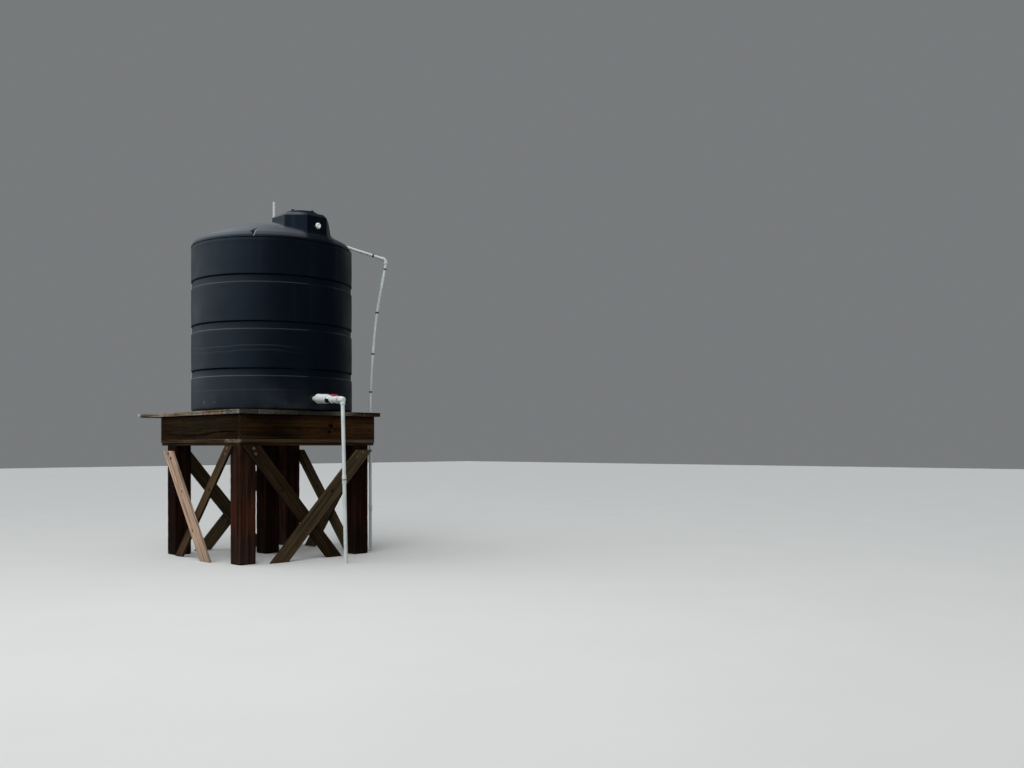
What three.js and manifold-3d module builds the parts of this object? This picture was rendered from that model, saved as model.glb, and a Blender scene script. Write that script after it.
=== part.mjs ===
// A farm water tower: a black plastic tank on a square timber stand, with a valved outlet,
// a drop pipe, a fill riser and a manway turret. Millimetres, +Z up, origin on the ground
// under the stand's centre post. Front is -Y, left is -X.
import * as THREE from 'three';
import { mergeVertices } from 'three/addons/utils/BufferGeometryUtils.js';
import Module from 'manifold-3d';

const wasm = await Module();
wasm.setup();

// Clearance between pieces that touch
const GAP = 0.3;

// Stand: square posts, flat cap planks on them, rim boards and joists on edge, deck boards
const HALF = 1070;
const POST = 240;
const POST_TOP = 1523;
const POST_RIGHT = 960;
const POST_BACK = 880;
const CAP_THICK = 82;
const CAP_WIDTH = 240;
const CAP_FRONT_WIDTH = 380;
const RIM_HEIGHT = 325;
const RIM_THICK = 40;
const RIM_BOTTOM = POST_TOP + CAP_THICK;
const RIM_TOP = RIM_BOTTOM + RIM_HEIGHT;
const JOISTS_Y = [-520, 0, 520];
const BOARD_THICK = 58;
const BOARD_GAP = 5;
const BOARD_COUNT = 8;
const DECK_LEFT = -1095;
const DECK_RIGHT = 1145;
const DECK_FRONT = -1115;
const DECK_BACK = 1095;
const DECK_TOP = RIM_TOP + BOARD_THICK;
const SHORT_BOARD_END = 180;
const LONG_BOARD_END = 1760;
const LONG_BOARD_THICK = 46;

// Braces: plank sections, and how far an outer plank leans out as it drops past an inner one
const BRACE_THICK = 38;
const BRACE_NARROW = 140;
const BRACE_WIDE = 196;
const BRACE_LEAN = 0.055;

// Tank: an upright shell with three recessed bands and a domed top
const TANK_X = 62;
const TANK_Y = -37;
const TANK_R = 1110;
const SHELL = 12;
const FIRST_BAND = 467;
const BAND_PITCH = 619;
const BAND_COUNT = 3;
const BAND_HEIGHT = 84;
const BAND_DEPTH = 26;
const BAND_SLOPE = 14;
const FOOT_R = 34;
const FOOT_FLANGE = 70;
const DOME_TOP = 2650;
const CAP_R = 2130;
const SHOULDER_R = 105;
const SHOULDER_Z = DOME_TOP - CAP_R
  + Math.sqrt((CAP_R - SHOULDER_R) ** 2 - (TANK_R - SHOULDER_R) ** 2);
const WALL_TOP = SHOULDER_Z - GAP;
const WALL_SEGMENTS = 6;
const WALL_STEPS = 10;
const ROUND = WALL_SEGMENTS * WALL_STEPS;

// Manway turret: an octagonal neck with a bevelled top, a round lid and a side fitting
const TURRET_X = 38;
const TURRET_Y = -668;
const TURRET_FLATS = 741;
const TURRET_TOP = 2684;
const TURRET_BEVEL = 50;
const TURRET_WALL = 14;
const DOME_OPENING = 640;
const MANWAY_R = 203;
const LID_R = 225;
const LID_SKIRT = 42;
const LID_RISE = 34;
const LUG_HEIGHT = 12;
const LUG_COUNT = 4;
const FITTING_X = 51;
const FITTING_Z = 2508;
const FITTING_R = 41;
const FITTING_OUT = 26;
const VENT_R = 21.1;
const VENT_X = 15;
const VENT_Y = -15;
const VENT_TOP = 3000;

// Outlet line: runs along -Y from the tank wall, drooping a little, then drops to the ground
const OUTLET_X = -80;
const OUTLET_Z = 163;
const OUTLET_DROOP = THREE.MathUtils.degToRad(2.5);
const STUB_R = 30.2;
const FLANGE_R = 62;
const FLANGE_THICK = 18;
const COUPLING_R = 65;
const COUPLING_START = 74;
const COUPLING_END = 298;
const NECK_R = 44;
const VALVE_START = 375;
const VALVE_END = 596;
const VALVE_R = 57;
const VALVE_BODY_R = 50;
const ELBOW_END = 703;
const ELBOW_R = 33;
const ELBOW_REACH = 62;
const HANDLE_HUB_R = 17;
const HANDLE_LIFT = 13;
const HANDLE_LENGTH = 130;
const HANDLE_WIDTH = 30;
const HANDLE_HEIGHT = 22;
const DROP_R = 24.15;
const DROP_FOOT = new THREE.Vector3(20, -1830, 0);

// Fill line: the riser's path from the ground to the elbow beside the tank's shoulder
const RISER_R = 21.1;
const RISER_FOOT = new THREE.Vector3(1200, -806, 0);
const RISER_PATH = [
  RISER_FOOT,
  new THREE.Vector3(1200, -806, 1980),
  new THREE.Vector3(1204, -809, 2290),
  new THREE.Vector3(1226, -832, 2840),
  new THREE.Vector3(1267, -874, 3430),
  new THREE.Vector3(1354, -963, 4125),
];
const FILL_ELBOW = new THREE.Vector3(1359, -968, 4218);
const FILL_ELBOW_R = 29;
const FILL_ELBOW_REACH = 62;
const FILL_ENTRY = new THREE.Vector3(764, -466, 4458);

const paint = (color, roughness, metalness = 0) =>
  new THREE.MeshStandardMaterial({ color, roughness, metalness });
const materials = {
  post: paint(0x5a3327, 0.9),
  rim: paint(0x5d4433, 0.85),
  deck: paint(0x8d8274, 0.9),
  brace: paint(0x7d5b3e, 0.85),
  prop: paint(0xc79f80, 0.8),
  tank: paint(0x1d2126, 0.45),
  pvc: paint(0xe4e6e3, 0.4),
  handle: paint(0xb3202b, 0.45),
};

const tower = new THREE.Group();

// Add a named mesh to a group
function add(name, geometry, material, parent = tower) {
  const mesh = new THREE.Mesh(geometry, material);
  mesh.name = name;
  parent.add(mesh);
  return mesh;
}

// A box from its lowest to its highest corner
function block(name, low, high, material) {
  const size = high.map((value, i) => value - low[i]);
  const mesh = add(name, new THREE.BoxGeometry(...size), material);
  mesh.position.set(...high.map((value, i) => (value + low[i]) / 2));
  return mesh;
}

// Solid of a closed geometry, for cutting and joining
function solid(geometry) {
  const plain = geometry.clone();
  plain.deleteAttribute('normal');
  plain.deleteAttribute('uv');
  const merged = mergeVertices(plain, 0.001);
  const corners = Array.from(merged.index.array);
  const faces = [];
  for (let i = 0; i < corners.length; i += 3) {
    const face = corners.slice(i, i + 3);
    if (new Set(face).size === 3) faces.push(...face);
  }
  return new wasm.Manifold(new wasm.Mesh({
    numProp: 3,
    vertProperties: new Float32Array(merged.attributes.position.array),
    triVerts: new Uint32Array(faces),
  }));
}

// Geometry of a solid
function shaped(body) {
  const mesh = body.getMesh();
  const geometry = new THREE.BufferGeometry();
  geometry.setAttribute('position', new THREE.BufferAttribute(mesh.vertProperties, 3));
  geometry.setIndex(new THREE.BufferAttribute(mesh.triVerts, 1));
  geometry.computeVertexNormals();
  return geometry;
}

// Upright prism of a closed outline between two heights
function prism(outline, bottom, top) {
  const shape = new THREE.Shape(outline);
  const geometry = new THREE.ExtrudeGeometry(shape, { depth: top - bottom, bevelEnabled: false });
  geometry.translate(0, 0, bottom);
  return geometry;
}

// Solid of revolution about Z, from a profile of [radius, height] pairs
function turned(profile, sides) {
  const points = profile.map(([r, z]) => new THREE.Vector2(r, z));
  const geometry = new THREE.LatheGeometry(points, sides);
  geometry.rotateX(Math.PI / 2);
  return geometry;
}

// Upright cylinder between two heights
function upright(radius, bottom, top, sides = 24) {
  const geometry = new THREE.CylinderGeometry(radius, radius, top - bottom, sides);
  geometry.rotateX(Math.PI / 2);
  geometry.translate(0, 0, (bottom + top) / 2);
  return geometry;
}

// Cylinder along local Y between two places
function along(radius, start, end, sides = 24) {
  const geometry = new THREE.CylinderGeometry(radius, radius, end - start, sides);
  geometry.translate(0, -(start + end) / 2, 0);
  return geometry;
}

// Round rod between two points
function rod(from, to, radius, sides = 24) {
  const length = from.distanceTo(to);
  const geometry = new THREE.CylinderGeometry(radius, radius, length, sides);
  const direction = to.clone().sub(from).normalize();
  const turn = new THREE.Quaternion().setFromUnitVectors(new THREE.Vector3(0, 1, 0), direction);
  geometry.applyQuaternion(turn);
  const middle = from.clone().add(to).multiplyScalar(0.5);
  geometry.translate(middle.x, middle.y, middle.z);
  return geometry;
}

function buildPosts() {
  const rows = { front: -HALF, back: POST_BACK - POST };
  const columns = { left: -HALF, right: POST_RIGHT - POST };
  for (const [row, y] of Object.entries(rows)) {
    for (const [column, x] of Object.entries(columns)) {
      block(`post_${row}_${column}`, [x, y, 0], [x + POST, y + POST, POST_TOP - GAP], materials.post);
    }
  }
  block('post_centre', [-POST / 2, -POST / 2, 0], [POST / 2, POST / 2, POST_TOP - GAP], materials.post);
}

function buildCaps() {
  const bottom = POST_TOP;
  const top = RIM_BOTTOM - GAP;
  const frontEnd = -HALF + CAP_FRONT_WIDTH;
  const backStart = POST_BACK - CAP_WIDTH;
  const leftEnd = -HALF + CAP_WIDTH;
  const rightStart = POST_RIGHT - CAP_WIDTH;
  block('cap_front', [-HALF, -HALF, bottom], [HALF, frontEnd, top], materials.rim);
  block('cap_left', [-HALF, frontEnd + GAP, bottom], [leftEnd, HALF, top], materials.rim);
  block('cap_right', [rightStart, frontEnd + GAP, bottom], [POST_RIGHT, HALF, top], materials.rim);
  block('cap_back', [leftEnd + GAP, backStart, bottom], [rightStart - GAP, POST_BACK, top], materials.rim);
  block('cap_middle', [-CAP_WIDTH / 2, frontEnd + GAP, bottom], [CAP_WIDTH / 2, backStart - GAP, top],
    materials.rim);
}

function buildRims() {
  const bottom = RIM_BOTTOM;
  const top = RIM_TOP - GAP;
  const inner = HALF - RIM_THICK;
  block('rim_front', [-HALF, -HALF, bottom], [HALF, -inner, top], materials.rim);
  block('rim_back', [-HALF, inner, bottom], [HALF, HALF, top], materials.rim);
  block('rim_left', [-HALF, -inner + GAP, bottom], [-inner, inner - GAP, top], materials.rim);
  block('rim_right', [inner, -inner + GAP, bottom], [HALF, inner - GAP, top], materials.rim);
  JOISTS_Y.forEach((y, i) => {
    block(`joist_${i + 1}`, [-inner + GAP, y - RIM_THICK / 2, bottom],
      [inner - GAP, y + RIM_THICK / 2, top], materials.rim);
  });
}

function buildDeck() {
  const pitch = (DECK_RIGHT - DECK_LEFT + BOARD_GAP) / BOARD_COUNT;
  const width = pitch - BOARD_GAP;
  for (let i = 0; i < BOARD_COUNT; i += 1) {
    const x = DECK_LEFT + i * pitch;
    const end = i === 0 ? SHORT_BOARD_END : DECK_BACK;
    block(`deck_board_${i + 1}`, [x, DECK_FRONT, RIM_TOP], [x + width, end, DECK_TOP - GAP], materials.deck);
  }
  block('deck_board_long', [DECK_LEFT, SHORT_BOARD_END + BOARD_GAP, RIM_TOP],
    [DECK_LEFT + width, LONG_BOARD_END, RIM_TOP + LONG_BOARD_THICK], materials.deck);
}

// A slanting plank on one face of the stand. Its ends are cut level, at top.z and on the ground.
// outward and across are the face's own directions, and base is how far out its inner side is.
function brace(name, { outward, across, base, top, foot, width, lean = 0, material }) {
  const run = foot - top.at;
  const halfCut = (width / 2) * Math.hypot(run, top.z) / top.z;
  const outline = [
    [top.at - halfCut, top.z],
    [top.at + halfCut, top.z],
    [foot + halfCut, 0],
    [foot - halfCut, 0],
  ].map(([u, z]) => new THREE.Vector2(u, z));
  const geometry = new THREE.ExtrudeGeometry(new THREE.Shape(outline),
    { depth: BRACE_THICK, bevelEnabled: false });
  const leanOut = new THREE.Matrix4().makeShear(0, 0, 0, -lean, 0, 0);
  geometry.applyMatrix4(leanOut);
  geometry.translate(0, 0, base + lean * top.z);
  const up = new THREE.Vector3(0, 0, 1);
  const frame = new THREE.Matrix4().makeBasis(across, up, outward);
  geometry.applyMatrix4(frame);
  add(name, geometry, material);
}

function buildBraces() {
  const x = new THREE.Vector3(1, 0, 0);
  const y = new THREE.Vector3(0, 1, 0);
  const minusX = x.clone().negate();
  const minusY = y.clone().negate();
  const topZ = POST_TOP - GAP;
  const wide = { width: BRACE_WIDE, material: materials.brace };
  const outer = { ...wide, lean: BRACE_LEAN };
  const outerZ = topZ - 60;
  const onPost = HALF + GAP;
  const front = { outward: minusY, across: x, base: onPost };
  brace('brace_front_inner', { ...front, ...wide, top: { at: -920, z: topZ }, foot: 358 });
  brace('brace_front_outer', { ...front, ...outer, top: { at: 873, z: outerZ }, foot: -560 });
  const left = { outward: minusX, across: minusY, base: onPost };
  brace('brace_left', { ...left, width: BRACE_NARROW, material: materials.brace,
    top: { at: 857, z: topZ }, foot: -487 });
  brace('prop_left', { ...left, width: BRACE_WIDE, material: materials.prop,
    top: { at: -800, z: 1450 }, foot: 388, lean: BRACE_LEAN });
  const back = { outward: y, across: minusX, base: POST_BACK + GAP };
  brace('brace_back_inner', { ...back, ...wide, top: { at: 906, z: topZ }, foot: -380 });
  brace('brace_back_outer', { ...back, ...outer, top: { at: -776, z: outerZ }, foot: 480 });
  const right = { outward: x, across: y, base: POST_RIGHT + GAP };
  brace('brace_right_inner', { ...right, ...wide, top: { at: -877, z: topZ }, foot: 400 });
  brace('brace_right_outer', { ...right, ...outer, top: { at: 697, z: outerZ }, foot: -480 });
}

// The dome's profile, from the axis outwards and down its rounded shoulder
function domeProfile(inset) {
  const reach = TANK_R - SHOULDER_R;
  const centreZ = DOME_TOP - CAP_R;
  const slope = Math.asin(reach / (CAP_R - SHOULDER_R));
  const capSteps = 6;
  const shoulderSteps = 4;
  const points = [];
  for (let i = 0; i <= capSteps; i += 1) {
    const a = (slope * i) / capSteps;
    points.push([(CAP_R - inset) * Math.sin(a), centreZ + (CAP_R - inset) * Math.cos(a)]);
  }
  const bend = SHOULDER_R - inset;
  for (let i = 1; i <= shoulderSteps; i += 1) {
    const a = slope + ((Math.PI / 2 - slope) * i) / shoulderSteps;
    points.push([reach + bend * Math.sin(a), SHOULDER_Z + bend * Math.cos(a)]);
  }
  return points;
}

// Path round the tank for one wall segment
class WallPath extends THREE.Curve {
  constructor(radius, start, end) {
    super();
    Object.assign(this, { radius, start, end });
  }

  getPoint(t, target = new THREE.Vector3()) {
    const a = this.start + (this.end - this.start) * t;
    return target.set(this.radius * Math.cos(a), this.radius * Math.sin(a), 0);
  }
}

// Wall section as [depth behind the outer face, height] pairs: foot flange, bands, top
function wallSection() {
  const outer = [[FOOT_FLANGE, 0], [FOOT_R, 0], [FOOT_R * 0.3, FOOT_R * 0.3], [0, FOOT_R]];
  for (let i = 0; i < BAND_COUNT; i += 1) {
    const low = FIRST_BAND + i * BAND_PITCH;
    outer.push([0, low - BAND_SLOPE], [BAND_DEPTH, low], [BAND_DEPTH, low + BAND_HEIGHT],
      [0, low + BAND_HEIGHT + BAND_SLOPE / 2]);
  }
  outer.push([0, WALL_TOP]);
  const inner = outer.slice(4, -1).map(([d, z]) => [d + SHELL, z]).reverse();
  return [...outer, [SHELL, WALL_TOP], ...inner, [SHELL, FOOT_R + SHELL],
    [FOOT_R, SHELL + 4], [FOOT_FLANGE, SHELL]];
}

function buildTankShell(tank) {
  const section = wallSection().map(([d, z]) => new THREE.Vector2(-z, d));
  const shape = new THREE.Shape(section);
  const span = (2 * Math.PI) / WALL_SEGMENTS;
  const slit = GAP / TANK_R;
  for (let i = 0; i < WALL_SEGMENTS; i += 1) {
    const path = new WallPath(TANK_R, i * span + slit / 2, (i + 1) * span - slit / 2);
    const geometry = new THREE.ExtrudeGeometry(shape, { extrudePath: path, steps: WALL_STEPS });
    add(`tank_wall_${i + 1}`, geometry, materials.tank, tank);
  }
  const floorR = (TANK_R - FOOT_FLANGE) * Math.cos(Math.PI / ROUND) - 2;
  add('tank_floor', upright(floorR, 0, SHELL, ROUND), materials.tank, tank);

  const shell = solid(turned([...domeProfile(SHELL), ...domeProfile(0).reverse()], ROUND));
  const opening = solid(prism(octagon(DOME_OPENING), WALL_TOP - 500, DOME_TOP + 500));
  add('tank_dome', shaped(shell.subtract(opening)), materials.tank, tank);
}

// Outline of an octagon about the turret's axis, with a flat side towards -Y
function octagon(flats) {
  const radius = flats / 2 / Math.cos(Math.PI / 8);
  const corners = Array.from({ length: 8 }, (_, i) => (Math.PI / 4) * (i + 0.5));
  const centre = new THREE.Vector2(TURRET_X, TURRET_Y);
  return corners.map((a) => new THREE.Vector2(Math.cos(a), Math.sin(a)).multiplyScalar(radius).add(centre));
}

// Everything under the dome's outer face, raised by the clearance
function underDome() {
  const profile = domeProfile(-2 * GAP);
  return solid(turned([[0, 0], [profile.at(-1)[0], 0], ...profile.reverse()], ROUND));
}

function buildTurret(tank) {
  const halfTop = TURRET_FLATS / 2 - TURRET_BEVEL;
  const bevel = new THREE.CylinderGeometry(halfTop / Math.cos(Math.PI / 8),
    TURRET_FLATS / 2 / Math.cos(Math.PI / 8), TURRET_BEVEL, 8, 1, false, Math.PI / 8);
  bevel.rotateX(Math.PI / 2);
  bevel.translate(TURRET_X, TURRET_Y, TURRET_TOP - TURRET_BEVEL / 2);
  const neck = solid(prism(octagon(TURRET_FLATS), 2000, TURRET_TOP - TURRET_BEVEL)).add(solid(bevel));
  const innerFlats = TURRET_FLATS - 2 * TURRET_WALL;
  const hollow = solid(prism(octagon(innerFlats), 1900, TURRET_TOP - TURRET_BEVEL - TURRET_WALL));
  const mouth = solid(upright(MANWAY_R, 2400, TURRET_TOP + 10, 48).translate(TURRET_X, TURRET_Y, 0));
  const turret = neck.subtract(hollow).subtract(mouth).subtract(underDome());
  add('manway_turret', shaped(turret), materials.tank, tank);

  const bottom = TURRET_TOP + GAP;
  const skirtTop = bottom + LID_SKIRT;
  const lidProfile = [
    [0, bottom], [LID_R, bottom], [LID_R, skirtTop - 8], [LID_R - 8, skirtTop],
    [LID_R * 0.6, skirtTop + LID_RISE * 0.7], [0, skirtTop + LID_RISE],
  ];
  let lid = solid(turned(lidProfile, 48));
  for (let i = 0; i < LUG_COUNT; i += 1) {
    const lug = new THREE.BoxGeometry(70, 26, LUG_HEIGHT + LID_RISE);
    lug.translate(LID_R - 48, 0, skirtTop + (LUG_HEIGHT + LID_RISE) / 2 - 20);
    lug.rotateZ((Math.PI / LUG_COUNT) * (2 * i + 0.35));
    lid = lid.add(solid(lug));
  }
  add('manway_lid', shaped(lid), materials.tank, tank).position.set(TURRET_X, TURRET_Y, 0);

  const face = TURRET_Y - TURRET_FLATS / 2 - GAP;
  const fitting = along(FITTING_R, 0, FITTING_OUT);
  add('turret_fitting', fitting, materials.pvc, tank).position.set(FITTING_X, face, FITTING_Z);
  const ventPipe = upright(VENT_R, DOME_TOP - 20, VENT_TOP).translate(VENT_X, VENT_Y, 0);
  const vent = solid(ventPipe).subtract(underDome());
  add('vent_pipe', shaped(vent), materials.pvc, tank);
}

// The outlet line, in a group at the tank wall whose local -Y is the line's axis
function buildOutlet(tank) {
  const line = new THREE.Group();
  const wallY = -Math.sqrt(TANK_R ** 2 - OUTLET_X ** 2) - GAP;
  line.position.set(OUTLET_X, wallY, OUTLET_Z);
  line.rotation.x = OUTLET_DROOP;
  tank.add(line);
  tower.updateMatrixWorld(true);
  const wall = upright(TANK_R + GAP, -100, WALL_TOP, ROUND).applyMatrix4(line.matrix.clone().invert());
  const fitting = solid(along(STUB_R, -SHELL, COUPLING_START + 1))
    .add(solid(along(FLANGE_R, -SHELL, FLANGE_THICK, 8)))
    .add(solid(along(COUPLING_R, COUPLING_START, COUPLING_END)))
    .add(solid(along(NECK_R, COUPLING_END - 1, VALVE_START)))
    .subtract(solid(wall));
  add('outlet_fitting', shaped(fitting), materials.pvc, line);

  const corner = new THREE.Vector3(0, ELBOW_R - ELBOW_END, 0);
  const down = line.worldToLocal(DROP_FOOT.clone()).sub(corner).normalize();
  const third = (VALVE_END - VALVE_START) / 3;
  const stemY = -VALVE_START - 1.5 * third;
  const stem = upright(HANDLE_HUB_R, 0, VALVE_BODY_R + HANDLE_LIFT).translate(0, stemY, 0);
  const valve = solid(along(VALVE_R, VALVE_START + GAP, VALVE_START + third, 8))
    .add(solid(along(VALVE_BODY_R, VALVE_START + third - 1, VALVE_END - third + 1)))
    .add(solid(along(VALVE_R, VALVE_END - third, VALVE_END, 8)))
    .add(solid(along(ELBOW_R, VALVE_END - 1, ELBOW_END)))
    .add(solid(rod(corner, corner.clone().addScaledVector(down, ELBOW_REACH), ELBOW_R)))
    .add(solid(stem));
  add('outlet_valve', shaped(valve), materials.pvc, line);

  const handleZ = VALVE_BODY_R + HANDLE_LIFT + GAP;
  const bar = new THREE.BoxGeometry(HANDLE_LENGTH, HANDLE_WIDTH, HANDLE_HEIGHT);
  bar.translate(0, 0, handleZ + HANDLE_HEIGHT / 2);
  const handle = solid(bar).add(solid(upright(HANDLE_HUB_R + 8, handleZ, handleZ + HANDLE_HEIGHT - 4)));
  add('valve_handle', shaped(handle), materials.handle, line).position.y = stemY;
  return line.localToWorld(corner.addScaledVector(down, ELBOW_REACH + GAP));
}

function buildPipes(dropTop) {
  const ground = new THREE.BoxGeometry(1000, 1000, 200).translate(DROP_FOOT.x, DROP_FOOT.y, -100);
  const below = DROP_FOOT.clone().sub(dropTop).setLength(20).add(DROP_FOOT);
  const drop = solid(rod(below, dropTop, DROP_R)).subtract(solid(ground));
  add('drop_pipe', shaped(drop), materials.pvc);

  const down = RISER_PATH.at(-1).clone().sub(FILL_ELBOW).normalize();
  const riserEnd = [FILL_ELBOW_REACH + 40, FILL_ELBOW_REACH + 2 * GAP]
    .map((distance) => FILL_ELBOW.clone().addScaledVector(down, distance));
  const route = [...RISER_PATH.slice(0, -1), ...riserEnd];
  const riserPath = new THREE.CatmullRomCurve3(route, false, 'centripetal');
  const section = new THREE.Shape().absarc(0, 0, RISER_R, 0, 2 * Math.PI);
  const riser = new THREE.ExtrudeGeometry(section, { extrudePath: riserPath, steps: 24, curveSegments: 5 });
  add('riser_pipe', riser, materials.pvc);

  const inward = FILL_ENTRY.clone().sub(FILL_ELBOW).normalize();
  const elbow = solid(rod(FILL_ELBOW.clone().addScaledVector(down, -FILL_ELBOW_R),
    FILL_ELBOW.clone().addScaledVector(down, FILL_ELBOW_REACH), FILL_ELBOW_R))
    .add(solid(rod(FILL_ELBOW.clone().addScaledVector(inward, -FILL_ELBOW_R * 0.5),
      FILL_ELBOW.clone().addScaledVector(inward, FILL_ELBOW_REACH), FILL_ELBOW_R)));
  add('fill_elbow', shaped(elbow), materials.pvc);
  const start = FILL_ELBOW.clone().addScaledVector(inward, FILL_ELBOW_REACH + GAP);
  const pipe = solid(rod(FILL_ENTRY, start, RISER_R));
  const dome = underDome().translate([TANK_X, TANK_Y, DECK_TOP]);
  add('fill_pipe', shaped(pipe.subtract(dome)), materials.pvc);
}

buildPosts();
buildCaps();
buildRims();
buildDeck();
buildBraces();
const tank = new THREE.Group();
tank.position.set(TANK_X, TANK_Y, DECK_TOP);
tower.add(tank);
buildTankShell(tank);
buildTurret(tank);
buildPipes(buildOutlet(tank));

export default tower;
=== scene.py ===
"""The looks of a farm water tower: a black banded tank on a braced timber stand, with its pipes.
Metres, +Z up, in the solids' own frame. Front is -Y and left is -X."""
import math

import bpy
import numpy as np
from mathutils import Matrix, Vector, noise


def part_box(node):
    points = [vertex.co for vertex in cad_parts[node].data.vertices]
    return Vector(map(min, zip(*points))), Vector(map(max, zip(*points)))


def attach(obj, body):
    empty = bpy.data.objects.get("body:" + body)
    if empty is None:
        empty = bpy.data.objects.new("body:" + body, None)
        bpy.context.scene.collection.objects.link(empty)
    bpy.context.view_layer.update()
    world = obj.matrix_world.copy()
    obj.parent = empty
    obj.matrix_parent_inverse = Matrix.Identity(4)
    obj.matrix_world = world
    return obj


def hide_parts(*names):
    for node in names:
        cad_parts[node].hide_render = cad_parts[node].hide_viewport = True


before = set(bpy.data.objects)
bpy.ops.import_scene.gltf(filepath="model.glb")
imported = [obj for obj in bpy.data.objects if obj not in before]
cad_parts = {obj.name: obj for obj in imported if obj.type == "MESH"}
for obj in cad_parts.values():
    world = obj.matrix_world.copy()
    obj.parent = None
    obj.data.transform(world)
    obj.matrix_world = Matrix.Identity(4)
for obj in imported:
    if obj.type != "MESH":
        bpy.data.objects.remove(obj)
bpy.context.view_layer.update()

# Camera, at the photograph's place: level, turned to the heading, shifted up
CAMERA_PLACE = (-7.547, -12.216, 1.513)
CAMERA_HEADING = math.radians(44.3)
CAMERA_ROLL = math.radians(-0.06)
CAMERA_SHIFT = 0.0606
CAMERA_LENS = 34.45
BACKDROP = 0.20
LAMP_AIM = Vector((0, 0, 2.4))
FLOOR_REACH = 60.0
FLOOR_LEVEL = -0.0005

# Gap between pieces that touch
CLEARANCE = 0.0003

# Stand. Each kind of timber counts its random seeds up from a first one
DECK_BOARDS = 8
JOISTS = 3
SEEDS = {"post": 1, "lower_cap": 11, "upper_cap": 21, "rim": 31, "joist": 37, "deck": 42, "brace": 61}
CAP_SHARE = 0.44
BOLT_R = 0.012
NAIL_R = 0.007

# Tank, from its solids
DECK_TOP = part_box("tank_floor")[0].z
WALL_SEGMENTS = 6
WALL_BOXES = [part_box(f"tank_wall_{i + 1}") for i in range(WALL_SEGMENTS)]
TANK_LOW = Vector([min(low[i] for low, high in WALL_BOXES) for i in range(3)])
TANK_HIGH = Vector([max(high[i] for low, high in WALL_BOXES) for i in range(3)])
TANK_R = (TANK_HIGH.x - TANK_LOW.x) / 2
TANK_AXIS = Vector(((TANK_HIGH.x + TANK_LOW.x) / 2, (TANK_HIGH.y + TANK_LOW.y) / 2, DECK_TOP))
TANK_SIDES = 240
TANK_SWAY = 0.0015
DOME_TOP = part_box("tank_dome")[1].z - DECK_TOP
FIRST_BAND = 0.467
BAND_PITCH = 0.619
BAND_COUNT = 3
BAND_HEIGHT = 0.084
BAND_DEPTH = 0.014
BAND_SLOPE = 0.013
BAND_LEDGE = 0.018
BAND_DROP = 0.006
FOOT_R = 0.034
CAP_R = 2.130
CROWN_FINE = 0.930
CROWN_END = 1.068
SHOULDER_R = 0.105
SHOULDER_REACH = TANK_R - SHOULDER_R
SHOULDER_Z = DOME_TOP - CAP_R + math.sqrt((CAP_R - SHOULDER_R) ** 2 - SHOULDER_REACH ** 2)
NOTCH_COUNT = 4
NOTCH_TURN = math.radians(224.9)
NOTCH_LEFT = 0.060
NOTCH_RIGHT = 0.021
NOTCH_DEPTH = 0.024
NOTCH_TOP_R = 0.945
NOTCH_FOOT_Z = 0.018

# Manway turret, its lid, the white fitting and the vent
TURRET_LOW, TURRET_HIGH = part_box("manway_turret")
TURRET_FLATS = TURRET_HIGH.x - TURRET_LOW.x
TURRET_AXIS = Vector(((TURRET_HIGH.x + TURRET_LOW.x) / 2, (TURRET_HIGH.y + TURRET_LOW.y) / 2, DECK_TOP))
TURRET_TOP = TURRET_HIGH.z - DECK_TOP
TURRET_BEVEL = 0.050
TURRET_CORNER = 0.006
TURRET_FLARE = 0.040
TURRET_LEAN_OUT = 0.018
TURRET_LEAN_IN = 0.034
LID_R = 0.225
LID_SKIRT = 0.042
LID_RISE = 0.034
LID_RIBS = 48
LUG_COUNT = 4

# Outlet line, along the local -Y of a frame at the tank's wall
OUTLET_X = -0.080
OUTLET_Z = 0.163
OUTLET_DROOP = math.radians(2.5)
FLANGE_R = 0.062
STUB_R = 0.0302
COUPLING_R = 0.065
COUPLING_START = 0.122
COUPLING_END = 0.360
COUPLING_SHEAR = 0.65
NECK_R = 0.044
SLEEVE_OUTER_R = 0.054
SLEEVE_INNER_R = 0.047
SLEEVE_REACH = math.radians(82)
NUT_START = 0.420
NUT_SHEAR = 0.40
NUT_GRIPS = 12
VALVE_START = 0.375
VALVE_END = 0.596
VALVE_MIDDLE = (VALVE_START + VALVE_END) / 2
VALVE_SINK = 0.010
VALVE_R = 0.049
VALVE_BODY_R = 0.046
STEM_R = 0.017
ELBOW_AXIS = 0.670
HANDLE_LIFT = 0.010
HANDLE_REACH = 0.050
DROP_R = 0.02415
DROP_FOOT = Vector((0.020, -1.830, 0.0))
DROP_FITTING_Z = 1.08

# Fill line
PIPE_R = 0.0211
RISER_PATH = [
    (1.200, -0.806, 0.0), (1.200, -0.806, 1.980), (1.204, -0.809, 2.290),
    (1.226, -0.832, 2.840), (1.267, -0.874, 3.430), (1.354, -0.963, 4.125),
]
RISER_JOINT_Z = 0.62
FILL_ELBOW = Vector((1.359, -0.968, 4.218))
FILL_ENTRY = Vector((0.764, -0.466, 4.458))
FILL_ELBOW_REACH = 0.062
ELBOW_LIP_R = 0.0285
BAND_HEIGHTS = (4.08, 3.45, 2.85, 2.30)
FILL_BAND_SHARE = 0.17


def bell(values, centre, width):
    """1 at the centre, falling off smoothly over the width on both sides."""
    return np.exp(-((values - centre) / width) ** 2)


def ramp(values, start, width):
    """0 before the start, then straight up to 1 over the width. A width below 0 runs backwards."""
    return np.clip((values - start) / width, 0, 1)


def tent(values, width):
    """1 at 0, falling straight to 0 at the width on both sides."""
    return np.clip(1 - np.abs(values) / width, 0, 1)


def wavy(values, seed, scale):
    """Smooth noise from -1 to 1 along a line of values."""
    return np.array([noise.noise(Vector((v * scale, seed * 7.31, seed * 1.73))) for v in values])


def turns(sides):
    """Angles that share out a full turn."""
    return np.arange(sides) * math.tau / sides


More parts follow.
